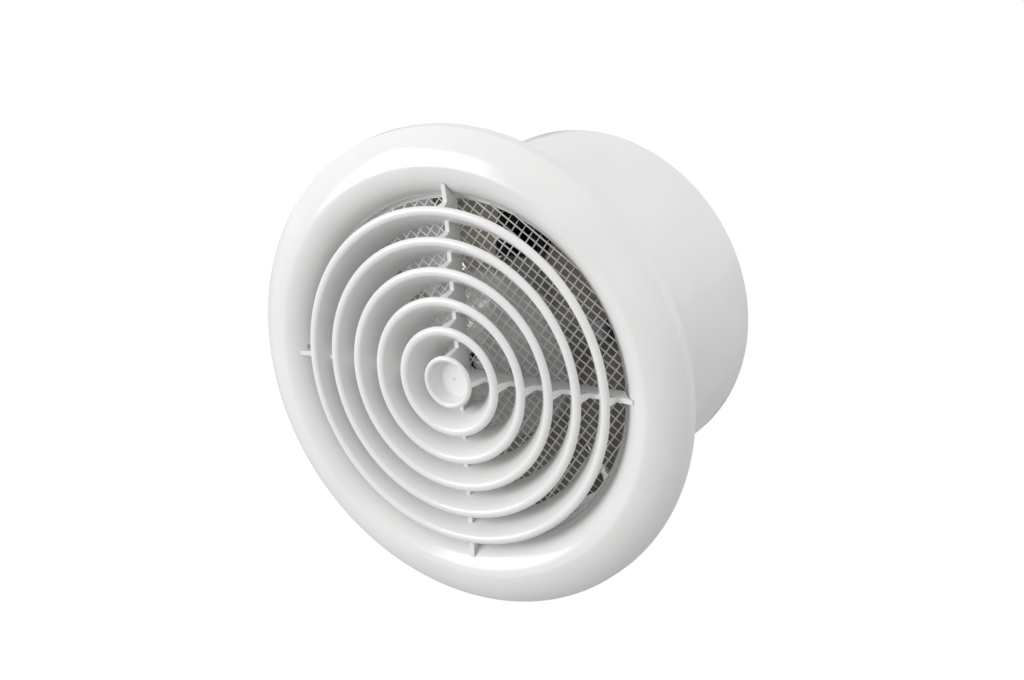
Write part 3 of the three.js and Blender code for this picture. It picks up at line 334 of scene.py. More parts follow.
def rounded(corners, steps=4):
    """A closed outline whose (x, y, fillet) corners are replaced by arcs tangent to both sides: the arc's centre
    lies on the corner's bisector at fillet / sin(half angle)."""
    corners = np.asarray(corners, float)
    outline = []
    for before, here, after in zip(np.roll(corners, 1, 0), corners, np.roll(corners, -1, 0)):
        place, fillet = here[:2], here[2]
        if fillet == 0:
            outline.append(place[None])
            continue
        into = (before[:2] - place) / np.linalg.norm(before[:2] - place)
        out = (after[:2] - place) / np.linalg.norm(after[:2] - place)
        half = math.acos(np.clip(into @ out, -1, 1)) / 2
        middle = (into + out) / np.linalg.norm(into + out)
        centre = place + middle * fillet / math.sin(half)
        first = place + into * fillet / math.tan(half) - centre
        last = place + out * fillet / math.tan(half) - centre
        share = np.linspace(0, 1, steps + 1)[:, None]
        span = math.pi - 2 * half
        round_corner = np.sin((1 - share) * span) * first + np.sin(share * span) * last
        outline.append(centre + round_corner / math.sin(span))
    return np.concatenate(outline)


def round_axis(radius, depth, turn):
    """Points at a radius, a depth and a turn about the duct's axis: x = r cos t, y = depth, z = r sin t."""
    depth = np.broadcast_to(depth, np.broadcast_shapes(np.shape(radius * turn), np.shape(depth)))
    return np.stack([radius * np.cos(turn), depth, radius * np.sin(turn)], axis=-1)


def lathe(profile, segments=ROUND):
    """A (radius, depth) profile turned about the duct's axis over even angles. A profile that starts and ends on
    the axis is closed by it, and any other closes on itself."""
    profile = np.asarray(profile, float)
    turn = np.linspace(0, 2 * math.pi, segments, endpoint=False)[:, None]
    closes = bool(profile[0, 0] > 0)
    return round_axis(*profile.T, turn).reshape(-1, 3), grid_faces(segments, len(profile), True, closes), []


def washer(inner, outer, front, back, fillet, segments=ROUND):
    """A flat ring with rounded corners."""
    return lathe(rounded([(inner, front, fillet), (outer, front, fillet), (outer, back, fillet),
                          (inner, back, fillet)]), segments)


def peg(radius, front, back, fillet, segments=SMALL):
    """A round rod along Y with rounded ends."""
    ends = rounded([(0, front, 0), (radius, front, fillet), (radius, back, fillet), (0, back, 0)])
    return lathe(ends, segments)


def loft(points):
    """Rows of points as cross-sections: each is joined to the next, and a flat polygon closes each end."""
    rows, count = points.shape[:2]
    ends = [np.arange(count)[::-1], np.arange(count) + (rows - 1) * count]
    return points.reshape(-1, 3), grid_faces(rows, count, False, True), ends


def slab(outline, thickness):
    """An outline of (radius, depth) points as an upright plate."""
    side = np.concatenate([outline, np.zeros((len(outline), 1))], axis=1)
    return loft(np.stack([side - [0, 0, thickness / 2], side + [0, 0, thickness / 2]]))


def rounded_box(low, high, radius, steps=4):
    """A box with round edges: a sphere's points (cos a cos b, sin a cos b, sin b) times the radius, each moved
    out to the corner of its own octant, with flat polygons at the two poles."""
    middle, half = (np.array(low) + high) / 2, (np.array(high) - low) / 2 - radius
    eighth = np.linspace(0, QUARTER, steps + 1)
    a = np.concatenate([eighth + QUARTER * k for k in range(4)])
    sign_x, sign_y = np.repeat([1, -1, -1, 1], steps + 1), np.repeat([1, 1, -1, -1], steps + 1)
    b = np.concatenate([eighth - QUARTER, eighth])[:, None]
    sign_z = np.repeat([-1, 1], steps + 1)[:, None]
    x = middle[0] + half[0] * sign_x + radius * np.cos(a) * np.cos(b)
    y = middle[1] + half[1] * sign_y + radius * np.sin(a) * np.cos(b)
    z = np.broadcast_to(middle[2] + half[2] * sign_z + radius * np.sin(b), x.shape)
    rows, columns = x.shape
    poles = np.arange(4) * (steps + 1)
    caps = [poles[::-1], poles + (rows - 1) * columns]
    return np.stack([x, y, z], axis=-1).reshape(-1, 3), grid_faces(rows, columns, False, True), caps


def tube(path, radius, sides=16):
    """A round tube along a path: each point is the path's point plus the radius times cos and sin along two
    directions square to the path. Its ends close to a point."""
    path = np.asarray(path, float)
    along = np.gradient(path, axis=0)
    along /= np.linalg.norm(along, axis=1, keepdims=True)
    first = np.cross(along, [1.0, 0.0, 0.0])
    first /= np.linalg.norm(first, axis=1, keepdims=True)
    second = np.cross(along, first)
    turn = np.linspace(0, 2 * math.pi, sides, endpoint=False)[None, :, None]
    section = first[:, None] * np.cos(turn) + second[:, None] * np.sin(turn)
    path = np.concatenate([path[:1], path, path[-1:]])
    section = np.concatenate([section[:1] * 0, section, section[-1:] * 0])
    points = path[:, None] + radius * section
    return points.reshape(-1, 3), grid_faces(len(path), sides, False, True), []


def pan_head(radius, height, recess_reach, recess_width, recess_depth):
    """A screw head that rises along +Y from y = 0. Its top is height * (1 - fall (r / radius)^4), sunk by the
    recess depth inside a soft-edged cross, over even radii and angles."""
    soft, fall, sides = recess_width / 4, 0.35, 72
    share = np.concatenate([np.linspace(0, 1, 28), [1, 0]])[:, None]
    turn = np.linspace(0, 2 * math.pi, sides, endpoint=False)[None, :]
    x, z = radius * share * np.cos(turn), radius * share * np.sin(turn)
    inside = lambda value, half: np.clip((half - np.abs(value)) / soft + 0.5, 0, 1)
    cross = np.maximum(inside(x, recess_width / 2) * inside(z, recess_reach),
                       inside(z, recess_width / 2) * inside(x, recess_reach))
    y = height * (1 - fall * share ** 4) - recess_depth * cross
    y[-2:] = 0
    return np.stack([x, y, z], axis=-1).reshape(-1, 3), grid_faces(len(share), sides, False, True), []


def closed_mesh(name, surface):
    """The surface as a mesh whose doubled points are merged and whose faces point outwards."""
    points, quads, caps = surface
    mesh = bpy.data.meshes.new(name)
    mesh.from_pydata(points.tolist(), [], quads.tolist() + [cap.tolist() for cap in caps])
    work = bmesh.new()
    work.from_mesh(mesh)
    bmesh.ops.remove_doubles(work, verts=work.verts, dist=WELD)
    bmesh.ops.recalc_face_normals(work, faces=work.faces)
    work.to_mesh(mesh)
    work.free()
    return mesh


def piece(name, surface, finish, body, nodes, bevel=0.0):
    """Puts a surface into the scene as one object that rides on a body and stands for its CAD nodes."""
    mesh = closed_mesh(name, surface)
    mesh.shade_smooth()
    mesh.set_sharp_from_angle(angle=SMOOTH_UNDER)
    mesh.materials.append(FINISHES[finish])
    thing = bpy.data.objects.new(name, mesh)
    bpy.context.scene.collection.objects.link(thing)
    if bevel:
        edges = thing.modifiers.new("Rounded edges", "BEVEL")
        edges.width = bevel
        edges.segments = 2
        edges.limit_method = "ANGLE"
        edges.angle_limit = SHARP_OVER
        edges.harden_normals = True
    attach(thing, body)
    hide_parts(*nodes)
    return thing


def cut_away(thing, tools):
    """Takes the tools' solids out of a piece and keeps the result as its mesh."""
    cutter = bpy.data.objects.new("cutter", closed_mesh("cutter", tools))
    bpy.context.scene.collection.objects.link(cutter)
    boolean = thing.modifiers.new("Cut", "BOOLEAN")
    boolean.object = cutter
    boolean.operation = "DIFFERENCE"
    boolean.solver = "EXACT"
    shape = bpy.data.meshes.new_from_object(thing.evaluated_get(bpy.context.evaluated_depsgraph_get()))
    thing.modifiers.clear()
    thing.data = shape
    shape.set_sharp_from_angle(angle=SMOOTH_UNDER)
    bpy.data.objects.remove(cutter)


# ---------------------------------------------------------------- finishes

MIX_FACTOR, MIX_A, MIX_B, MIX_OUT = 0, 6, 7, 2   # the colour sockets of a Mix node
NOISE_LOW, NOISE_HIGH = 0.3, 0.7                 # the middle of a noise's range, where most of it lies
CLOUD = 28 * MM          # slow clouding in a moulding's colour
HAZE = 5 * MM            # patches of duller polish on a moulding
SINK = 14 * MM           # waves where a moulding's wall sank
SCRATCH = 0.25 * MM      # width of a metal's scratches
SCRATCH_ALONG = 0.06     # a scratch's width as a share of its length
TARNISH = 2 * MM         # patches of duller polish on laminations and wire
SHADE_PAINTED_FROM = 30.5 * MM    # radius outside which the impeller's blades are painted in shade
SHADE_PAINTED_SOFT = 2 * MM       # width over which that painted shade fades in, inside that radius


def feed(tree, node, inputs):
    """Fills a node's inputs. Each one is a value or another node's output."""
    for name, value in inputs.items():
        if isinstance(value, bpy.types.NodeSocket):
            tree.links.new(value, node.inputs[name])
        else:
            node.inputs[name].default_value = value
    return node


def add(tree, kind, inputs=None, **settings):
    """One node with its settings and its inputs."""
    node = tree.nodes.new(kind)
    for name, value in settings.items():
        setattr(node, name, value)
    return feed(tree, node, inputs or {})


def blank(name):
    """A new finish with its tree, the piece's own coordinates in metres, and its shader."""
    finish = bpy.data.materials.new(name)
    finish.use_nodes = True
    tree = finish.node_tree
    place = add(tree, "ShaderNodeTexCoord").outputs["Object"]
    return finish, tree, place, tree.nodes["Principled BSDF"]


def mottled(tree, place, size, low, high, detail=2.0):
    """A value that wanders from low to high in soft blobs about size metres across."""
    blobs = add(tree, "ShaderNodeTexNoise", {"Vector": place, "Scale": 1 / size, "Detail": detail})
    spread = add(tree, "ShaderNodeMapRange", {"Value": blobs.outputs["Fac"], "From Min": NOISE_LOW,
                                              "From Max": NOISE_HIGH, "To Min": low, "To Max": high})
    return spread.outputs["Result"]


def dimpled(tree, place, size, depth, detail, under=None):
    """Soft blobs about size metres across and depth metres deep, as a normal that can lie over another one."""
    blobs = add(tree, "ShaderNodeTexNoise", {"Vector": place, "Scale": 1 / size, "Detail": detail})
    inputs = {"Height": blobs.outputs["Fac"], "Strength": 1.0, "Distance": depth}
    return add(tree, "ShaderNodeBump", {**inputs, "Normal": under} if under else inputs).outputs["Normal"]


def moulded(name, light, deep, roughness, spread, ior, peel, peel_depth, wave_depth=0.0):
    """Injection-moulded plastic: slow clouding in its colour, a fine peel from the mould's polish, and slow
    waves where the wall sank, which bend its reflections."""
    finish, tree, place, shader = blank(name)
    cloud = mottled(tree, place, CLOUD, 0, 1)
    tint = add(tree, "ShaderNodeMix", {MIX_FACTOR: cloud, MIX_A: light, MIX_B: deep}, data_type="RGBA")
    haze = mottled(tree, place, HAZE, roughness - spread, roughness + spread, 4.0)
    waves = dimpled(tree, place, SINK, wave_depth, 0.0)
    feed(tree, shader, {"Base Color": tint.outputs[MIX_OUT], "Roughness": haze, "IOR": ior,
                        "Normal": dimpled(tree, place, peel, peel_depth, 1.0, waves)})
    return finish


def painted_blade_shade(finish, tone, radius, soft):
    """Paints shade on a moulding: its colour deepens to a darker tone outside a radius from the axis, so the
    blades look shaded deep in the duct and the hub inside that radius looks lighter, as if lit."""
    tree, shader = finish.node_tree, finish.node_tree.nodes["Principled BSDF"]
    place = add(tree, "ShaderNodeTexCoord").outputs["Object"]
    flat = add(tree, "ShaderNodeVectorMath", {0: place, 1: (1.0, 0.0, 1.0)}, operation="MULTIPLY")
    reach = add(tree, "ShaderNodeVectorMath", {0: flat.outputs[0]}, operation="LENGTH")
    share = add(tree, "ShaderNodeMapRange", {"Value": reach.outputs["Value"], "From Min": radius - soft,
                                             "From Max": radius, "To Min": 0, "To Max": 1})
    before = shader.inputs["Base Color"].links[0].from_socket
    tint = add(tree, "ShaderNodeMix", {MIX_FACTOR: share.outputs["Result"], MIX_A: before, MIX_B: tone},
               data_type="RGBA")
    feed(tree, shader, {"Base Color": tint.outputs[MIX_OUT]})


def plated(name, base, deep, roughness, spangle, scratch_depth):
    """Bright metal: crystals or rolling marks as cells a few millimetres wide, and fine scratches along the
    axis."""
    finish, tree, place, shader = blank(name)
    cells = add(tree, "ShaderNodeTexVoronoi", {"Vector": place, "Scale": 1 / spangle})
    shade = mottled(tree, cells.outputs["Position"], spangle, 0, 1, 0.0)
    tint = add(tree, "ShaderNodeMix", {MIX_FACTOR: shade, MIX_A: base, MIX_B: deep}, data_type="RGBA")
    polish = add(tree, "ShaderNodeMapRange", {"Value": shade, "From Min": 0, "From Max": 1,
                                              "To Min": roughness - 0.06, "To Max": roughness + 0.08})
    drawn = add(tree, "ShaderNodeMapping", {"Vector": place, "Scale": (1.0, SCRATCH_ALONG, 1.0)})
    feed(tree, shader, {"Base Color": tint.outputs[MIX_OUT], "Roughness": polish.outputs["Result"],
                        "Metallic": 1.0,
                        "Normal": dimpled(tree, drawn.outputs["Vector"], SCRATCH, scratch_depth, 2.0)})
    return finish


def banded(name, light, deep, roughness, metallic, pitch, direction, depth):
    """Bands of a real pitch along X, Y or Z: stacked laminations, or turns of wire."""
    finish, tree, place, shader = blank(name)
    bands = add(tree, "ShaderNodeTexWave", {"Vector": place, "Scale": math.pi / 10 / pitch, "Distortion": 0.0},
                bands_direction=direction).outputs["Fac"]
    tint = add(tree, "ShaderNodeMix", {MIX_FACTOR: bands, MIX_A: deep, MIX_B: light}, data_type="RGBA")
    ridges = add(tree, "ShaderNodeBump", {"Height": bands, "Strength": 1.0, "Distance": depth})
    feed(tree, shader, {"Base Color": tint.outputs[MIX_OUT], "Metallic": metallic,
                        "Roughness": mottled(tree, place, TARNISH, roughness - 0.05, roughness + 0.05),
                        "Normal": ridges.outputs["Normal"]})
    return finish


FINISHES = {}


def make_finishes(tones):
    """All finishes, named for what each one really is."""
    tone = lambda name, share=1.0: (*[channel * share for channel in getattr(tones, name)[:3]], 1.0)
    # Polished ABS from a bright mould: crisp soft-box reflections over a clean, very slightly clouded white.
    FINISHES["white"] = moulded("Polished white ABS", tone("white"), tone("white_dark"), roughness=0.17,
                                spread=0.03, ior=1.53, peel=0.9 * MM, peel_depth=0.0006 * MM,
                                wave_depth=0.012 * MM)
    # Extruded polypropylene: satin, a little waxy.
    FINISHES["net"] = moulded("Satin polypropylene net", tone("net"), tone("net", 0.92), roughness=0.42,
                              spread=0.06, ior=1.49, peel=0.3 * MM, peel_depth=0.002 * MM)
    # Glossy grey-white polypropylene: wavy, so reflections break up over the hub.
    FINISHES["impeller"] = moulded("Glossy grey polypropylene", tone("impeller"), tone("impeller", 0.86),
                                   roughness=0.09, spread=0.03, ior=1.49, peel=2.5 * MM,
                                   peel_depth=0.006 * MM, wave_depth=0.16 * MM)
    # Painted shade: the blades are deepened to the blade tone, and the hub keeps the lighter impeller tone.
    painted_blade_shade(FINISHES["impeller"], tone("blade"), SHADE_PAINTED_FROM, SHADE_PAINTED_SOFT)
    # Glass-filled nylon: dull, with fibres that show as a fine grain.
    FINISHES["dark"] = moulded("Glass-filled nylon", tone("dark"), tone("dark", 0.8), roughness=0.48,
                               spread=0.07, ior=1.53, peel=0.4 * MM, peel_depth=0.012 * MM,
                               wave_depth=0.01 * MM)
    # Moulded nitrile rubber: matt, near black.
    FINISHES["rubber"] = moulded("Moulded black rubber", tone("rubber"), tone("rubber", 1.5), roughness=0.75,
                                 spread=0.08, ior=1.52, peel=0.5 * MM, peel_depth=0.01 * MM)
    # Soft PVC insulation: smooth and slightly glossy.
    for lead, title in (("live", "Brown PVC insulation"), ("neutral", "Blue PVC insulation")):
        FINISHES[lead] = moulded(title, tone(lead), tone(lead, 0.85), roughness=0.38, spread=0.05, ior=1.54,
                                 peel=0.6 * MM, peel_depth=0.002 * MM)
    # Urea moulding of the terminal block: cream-white and satin.
    FINISHES["block"] = moulded("Satin urea moulding", linear("#DEDCD4"), linear("#D2D0C8"), roughness=0.4,
                                spread=0.05, ior=1.6, peel=0.5 * MM, peel_depth=0.003 * MM)
    # Hot-dip zinc on drawn steel: crystals a few millimetres across.
    FINISHES["steel"] = plated("Zinc-plated drawn steel", tone("steel"), tone("steel", 0.74), roughness=0.34,
                               spangle=2.2 * MM, scratch_depth=0.002 * MM)
    # Ground silver steel: bright, with grinding marks.
    FINISHES["bright"] = plated("Ground bright steel", linear("#C6C7C8"), linear("#B2B3B5"), roughness=0.22,
                                spangle=0.8 * MM, scratch_depth=0.001 * MM)
    # Phosphated spring steel: near black, dull.
    FINISHES["black"] = plated("Phosphated spring steel", linear("#3A3A39"), linear("#2A2A29"), roughness=0.5,
                               spangle=0.6 * MM, scratch_depth=0.003 * MM)
    # Sintered bronze: dull gold, with the fine grain of its powder.
    FINISHES["brass"] = plated("Sintered bronze", tone("brass"), tone("brass", 0.8), roughness=0.4,
                               spangle=0.5 * MM, scratch_depth=0.003 * MM)
    # Cast aluminium: pale grey and satin, with no clear reflections.
    FINISHES["aluminium"] = plated("Cast aluminium", linear("#C4C6C8"), linear("#A9ABAD"), roughness=0.42,
                                   spangle=1.0 * MM, scratch_depth=0.004 * MM)
    # Electrical steel stacked in 0.5 mm sheets, which show as fine lines round the core.
    FINISHES["lamination"] = banded("Stacked electrical steel", linear("#6A6D70"), linear("#3C3F42"),
                                    roughness=0.45, metallic=0.9, pitch=0.5 * MM, direction="Y",
                                    depth=0.02 * MM)
    # Enamelled wire, drawn as turns 0.5 mm apart.
    FINISHES["copper"] = banded("Enamelled copper winding", tone("copper"), tone("copper", 0.35),
                                roughness=0.3, metallic=0.8, pitch=0.5 * MM, direction="Z", depth=0.08 * MM)


# ---------------------------------------------------------------- pieces

class FAN_OT_finishes(Operator):
    """Makes the fan's finishes"""
    bl_idname = "fan.finishes"
    bl_label = "Finishes"

    def execute(self, context):
        make_finishes(context.scene.fan_colours)
        return {"FINISHED"}


def softened(profile, passes=2):
    """A profile whose inner points are averaged with their neighbours by 1, 2, 1, to round a faint corner."""
    profile = profile.copy()
    for _ in range(passes):
        profile[1:-1] = (profile[:-2] + 2 * profile[1:-1] + profile[2:]) / 4
    return profile


class FAN_OT_cover(Operator):
    """Makes the domed front cover, with its snap beads and prising notch"""
    bl_idname = "fan.cover"
    bl_label = "Front cover"

    def execute(self, context):
        s, duct, grille = context.scene.fan_cover, context.scene.fan_duct, context.scene.fan_grille
        corner, crest = (s.corner_radius, -s.corner_depth), (s.crest_radius, -s.crest_depth)
        edge = (s.opening_radius, -s.opening_depth)
        lip_back = duct.flange_thickness + SEAT
        into_bore = 0.05 * MM   # hides the joint with the duct
        face = softened(np.concatenate([arc(corner, crest, s.face_turn, 30)[:-1],
                                        arc(crest, edge, s.funnel_turn, 30)]))
        inner = np.concatenate([arc(crest, edge, s.funnel_turn, 12, s.wall)[1:-1][::-1],
                                arc(corner, crest, s.face_turn, 10, s.wall)[1:-1][::-1]])
        rim = rounded([(s.rim_radius - s.wall, 0, 0), (s.rim_radius, 0, 0.25 * MM), (*corner, 0.45 * MM),
                       (*face[3], 0)], 5)[1:-1]
        profile = np.concatenate([
            rim, face[3:],
            rounded([(*edge, 0), (duct.radius - duct.wall + into_bore, -lip_back, HAIR),
                     (s.opening_radius + s.wall, -lip_back, 0)])[1:],
            inner,
            [(s.rim_radius - s.wall, -lip_back - SEAT), (s.rim_radius - s.wall, 0)],
        ])
        parts = [self.shell(profile, s, grille)]
        for k in range(4):
            parts.append(swung(self.bead(s, duct), k * QUARTER))
        piece("front_cover_moulding", joined(*parts), "white", "housing", ["front_cover"])
        return {"FINISHED"}

    def shell(self, profile, s, grille):
        """The profile turned about the axis. Over the notch's width, each point near the opening is held at the
        notch's outer radius: r = max(r, opening + reach). Two near steps at each side make its end walls."""
        side = grille.spoke / 2 + SEAT
        bounds = np.arcsin(np.array([side, side + s.notch_width]) / s.opening_radius)
        step = NOTCH_STEP
        turn = np.sort(np.concatenate([np.linspace(0, 2 * math.pi, ROUND, endpoint=False),
                                       (math.pi - bounds) - step, (math.pi - bounds) + step]))
        cut = (turn > math.pi - bounds[1]) & (turn < math.pi - bounds[0])
        notched = np.maximum(profile[:, 0], s.opening_radius + s.notch_reach)
        radius = np.where(cut[:, None], notched, profile[:, 0])
        points = round_axis(radius, profile[:, 1], turn[:, None])
        return points.reshape(-1, 3), grid_faces(len(turn), len(profile), True, True), []

    def bead(self, s, duct):
        """A snap bead: a block curved round the rim, over even angles and the five corners of its section."""
        turn = np.linspace(-BEAD_TURN, BEAD_TURN, 13)[:, None]
        tip, catch = duct.flange_radius - 1.0 * MM, duct.flange_radius - 0.7 * MM
        front, back, outer = -0.8 * MM, -0.05 * MM, s.rim_radius - s.wall / 2
        section = np.array([(tip, -0.2 * MM), (catch, front), (outer, front), (outer, back), (catch, back)])
        return loft(round_axis(*section.T, turn))


class FAN_OT_duct(Operator):
    """Makes the duct casing: spigot, flange, bracket lugs and wall screw holes"""
    bl_idname = "fan.duct"
    bl_label = "Duct casing"

    def execute(self, context):
        s, bracket, motor = context.scene.fan_duct, context.scene.fan_bracket, context.scene.fan_motor
        bore, thin = s.radius - s.wall, s.flange_radius - s.edge_width
        profile = rounded([
            (bore, -s.flange_thickness, SOFT), (s.flange_radius, -s.flange_thickness, SOFT),
            (s.flange_radius, -s.edge_thickness, SOFT), (thin, -s.edge_thickness, FINE),
            (thin, 0, FINE), (s.radius, 0, BROAD), (s.radius, s.length, 0.7 * MM),
            (bore, s.length, 0.7 * MM)], 4)
        lug_back = bracket.front - SEAT
        lug = rounded_box((bore - s.lug_depth, lug_back - s.lug_length, -s.lug_width / 2),
                          (bore + s.wall / 2, lug_back, s.lug_width / 2), 0.6 * MM)
        lugs = [swung(lug, bracket.arm_lead + k * QUARTER) for k in range(4)]
        casing = piece("duct_casing_moulding", joined(lathe(self.stations(profile)), *lugs), "white",
                       "housing", ["duct_casing"])
        hole = moved(peg(s.hole_radius, -s.flange_thickness * 2, s.flange_thickness, HAIR),
                     (s.radius + thin) / 2)
        pilot = moved(peg(motor.bolt + SEAT, lug_back - s.lug_length - SEAT, lug_back + SEAT, HAIR),
                      bracket.screw_circle)
        tools = [swung(tool, lead + k * QUARTER)
                 for tool, lead in ((hole, EIGHTH), (pilot, bracket.arm_lead)) for k in range(4)]
        cut_away(casing, joined(*tools))
        return {"FINISHED"}

    def stations(self, profile):
        """The profile with even steps along its long straight runs, so that its walls shade smoothly."""
        result = []
        for start, end in zip(profile, np.roll(profile, -1, 0)):
            steps = max(1, int(np.linalg.norm(end - start) / LONG_STEP))
            result.append(start + (end - start) * np.linspace(0, 1, steps, endpoint=False)[:, None])
        return np.concatenate(result)


class FAN_OT_grille(Operator):
    """Makes the grille insert: five funnel rings, a centre cup and four spokes in one moulding"""
    bl_idname = "fan.grille"
    bl_label = "Grille insert"

    def execute(self, context):
        s, cover, duct = context.scene.fan_grille, context.scene.fan_cover, context.scene.fan_duct
        pitch = (s.outer_radius - s.cup_radius) / s.rings
        radii = s.cup_radius + pitch * np.arange(1, s.rings + 1)
        parts = [self.ring(s, radius) for radius in radii] + [self.cup(s), self.gate(s)]
        outline = self.spoke(s, cover, duct, np.concatenate([[s.cup_radius], radii]))
        arm = joined(slab(outline, s.spoke), *[self.gusset(s, radius) for radius in radii])
        parts += [swung(arm, k * QUARTER) for k in range(4)]
        insert = moved(joined(*parts), 0, -s.front)
        piece("grille_insert_moulding", insert, "white", "grille", ["grille_insert"],
              bevel=0.14 * MM)
        return {"FINISHED"}

    def lip_depth(self, s, radius):
        """How far a lip lies behind the cup's: the dome's drop times (r^2 - cup^2) / (outer^2 - cup^2)."""
        return s.dome_drop * (radius ** 2 - s.cup_radius ** 2) / (s.outer_radius ** 2 - s.cup_radius ** 2)

    def roll(self, s, radius):
        """A ring's lip from its funnel's side: a wide roll over the front, then a tight corner round to the
        outer side, as centre + radius * (sin t, -cos t) with t counted outwards from the foremost line."""
        on = lambda centre, reach, turn: centre + reach * np.stack([np.sin(turn), -np.cos(turn)], axis=-1)
        middle = np.array([radius - s.roll_in, self.lip_depth(s, radius) - s.lip + s.roll])
        corner = on(middle, s.roll - s.corner, np.array(s.corner_turn))
        return np.concatenate([on(middle, s.roll, np.linspace(s.vane - QUARTER, s.corner_turn, 15)),
                               on(corner, s.corner, np.linspace(s.corner_turn, s.vane + QUARTER, 9)[1:])])

    def funnel(self, s, radius, start):
        """The inner side of a ring's wall: a circular arc that leaves the lip at the vane angle and ends at the
        rear edge, so it turns by twice the angle between the vane and its chord."""
        end = np.array([radius - s.inset, s.depth])
        lean = math.atan2(start[0] - end[0], end[1] - start[1])
        return arc(start, end, 2 * (s.vane - lean), WALL_STEPS), lean

    def ring(self, s, radius):
        """A funnel ring: its lip, and a bowed wall whose thickness falls as edge + rest * (1 - share)^4 from the
        lip to the rear edge."""
        lip = self.roll(s, radius)
        inside, lean = self.funnel(s, radius, lip[0])
        share = np.linspace(0, 1, len(inside))
        turn = s.vane + (2 * lean - 2 * s.vane) * share
        out = np.stack([np.cos(turn), np.sin(turn)], axis=-1)
        bead = (lip[-1] - lip[0]) @ out[0]
        outside = inside + out * (s.edge + (bead - s.edge) * (1 - share) ** 4)[:, None]
        outside[-1, 1] = s.depth
        return lathe(np.concatenate([lip, outside, inside[1:][::-1]]))

    def gusset(self, s, radius):
        """The gusset in front of a spoke's level edge: cross-sections from there up to the lip and over its
        corner, each as wide as spoke + (foot - spoke) * share, from inside the wall to the gusset's front."""
        depth = self.lip_depth(s, radius)
        share = np.linspace(0, 1, 9)[:, None]
        sunk, ahead = 0.5 * MM, 0.38 * MM        # into the spoke, and in front of the lip's centre line
        over, past = 0.86, s.gusset + 0.1 * MM   # over the lip's corner, and past it at the spoke
        within, slant = 1.0 * MM, 0.68           # inside the ring's wall, and in step with its slant
        y = s.set_back + sunk + (depth - ahead - s.set_back - sunk) * share
        outer = radius + s.lip * over + past * (1 - share)
        inner = radius - within - slant * (y - depth)
        half = (s.spoke + (s.foot - s.spoke) * share) / 2
        return loft(np.stack([np.concatenate([inner, outer, outer, inner], axis=1), np.repeat(y, 4, axis=1),
                              np.concatenate([-half, -half, half, half], axis=1)], axis=-1))

    def cup(self, s):
        """The centre cup: a flat floor, a steep wall up to a lip that is half a circle, and a cone back to the
        spokes."""
        lip_out = s.cup_radius + s.lip
        at = np.linspace(0, math.pi, 17)
        front = np.stack([s.cup_radius - s.lip * np.cos(at), -s.lip * np.sin(at)], axis=-1)
        floor = rounded([(0, s.cup_depth, 0), (s.floor_radius, s.cup_depth, BROAD), (*front[0], 0),
                         (s.cup_radius, 0, 0)])[:-2]
        back = s.cup_depth + s.floor
        return lathe(np.concatenate([
            floor, front,
            [(lip_out - s.cup_depth * math.tan(s.flare), s.cup_depth + s.floor / 2),
             (s.floor_radius - s.lip / 2, back), (0, back)]]), MIDDLE)

    def gate(self, s):
        """The gate mark: a low round dot with a sunk middle on the cup's floor, as (radius, height) points in
        millimetres."""
        dot = [(0, -0.12), (0.22, -0.12), (0.34, -0.32), (0.52, -0.34), (0.66, -0.2), (0.7, 0.1), (0, 0.1)]
        return lathe(np.array(dot) * MM + [0, s.cup_depth], SMALL)

    def spoke(self, s, cover, duct, radii):
        """A spoke's outline: a level front edge, a gusset up to each lip, a tip that follows the cover's funnel,
        and a rear edge in line with the rings'."""
        start = s.cup_depth + s.floor / 2
        front = [(0, start), (s.floor_radius, start)]
        slope = math.radians(30)   # where a gusset leaves its lip
        for k, radius in enumerate(radii):
            y = self.lip_depth(s, radius)
            if k:
                wall, _ = self.funnel(s, radius, self.roll(s, radius)[0])
                front.append((np.interp(s.set_back, wall[:, 1], wall[:, 0]) + s.edge / 2, s.set_back))
            front += [(radius, y), (radius + s.lip * math.cos(slope), y + s.lip * math.sin(slope)),
                      (radius + s.lip + s.gusset, s.set_back)]
        funnel = arc((cover.crest_radius, -cover.crest_depth), (cover.opening_radius, -cover.opening_depth),
                     cover.funnel_turn, 24, -SEAT)
        funnel = funnel[funnel[:, 0] < s.tip_radius] + [0, s.front]
        back = s.front - duct.flange_thickness
        return np.concatenate([front, funnel, [(s.neck_radius, back), (s.neck_radius, s.depth), (0, s.depth)]])


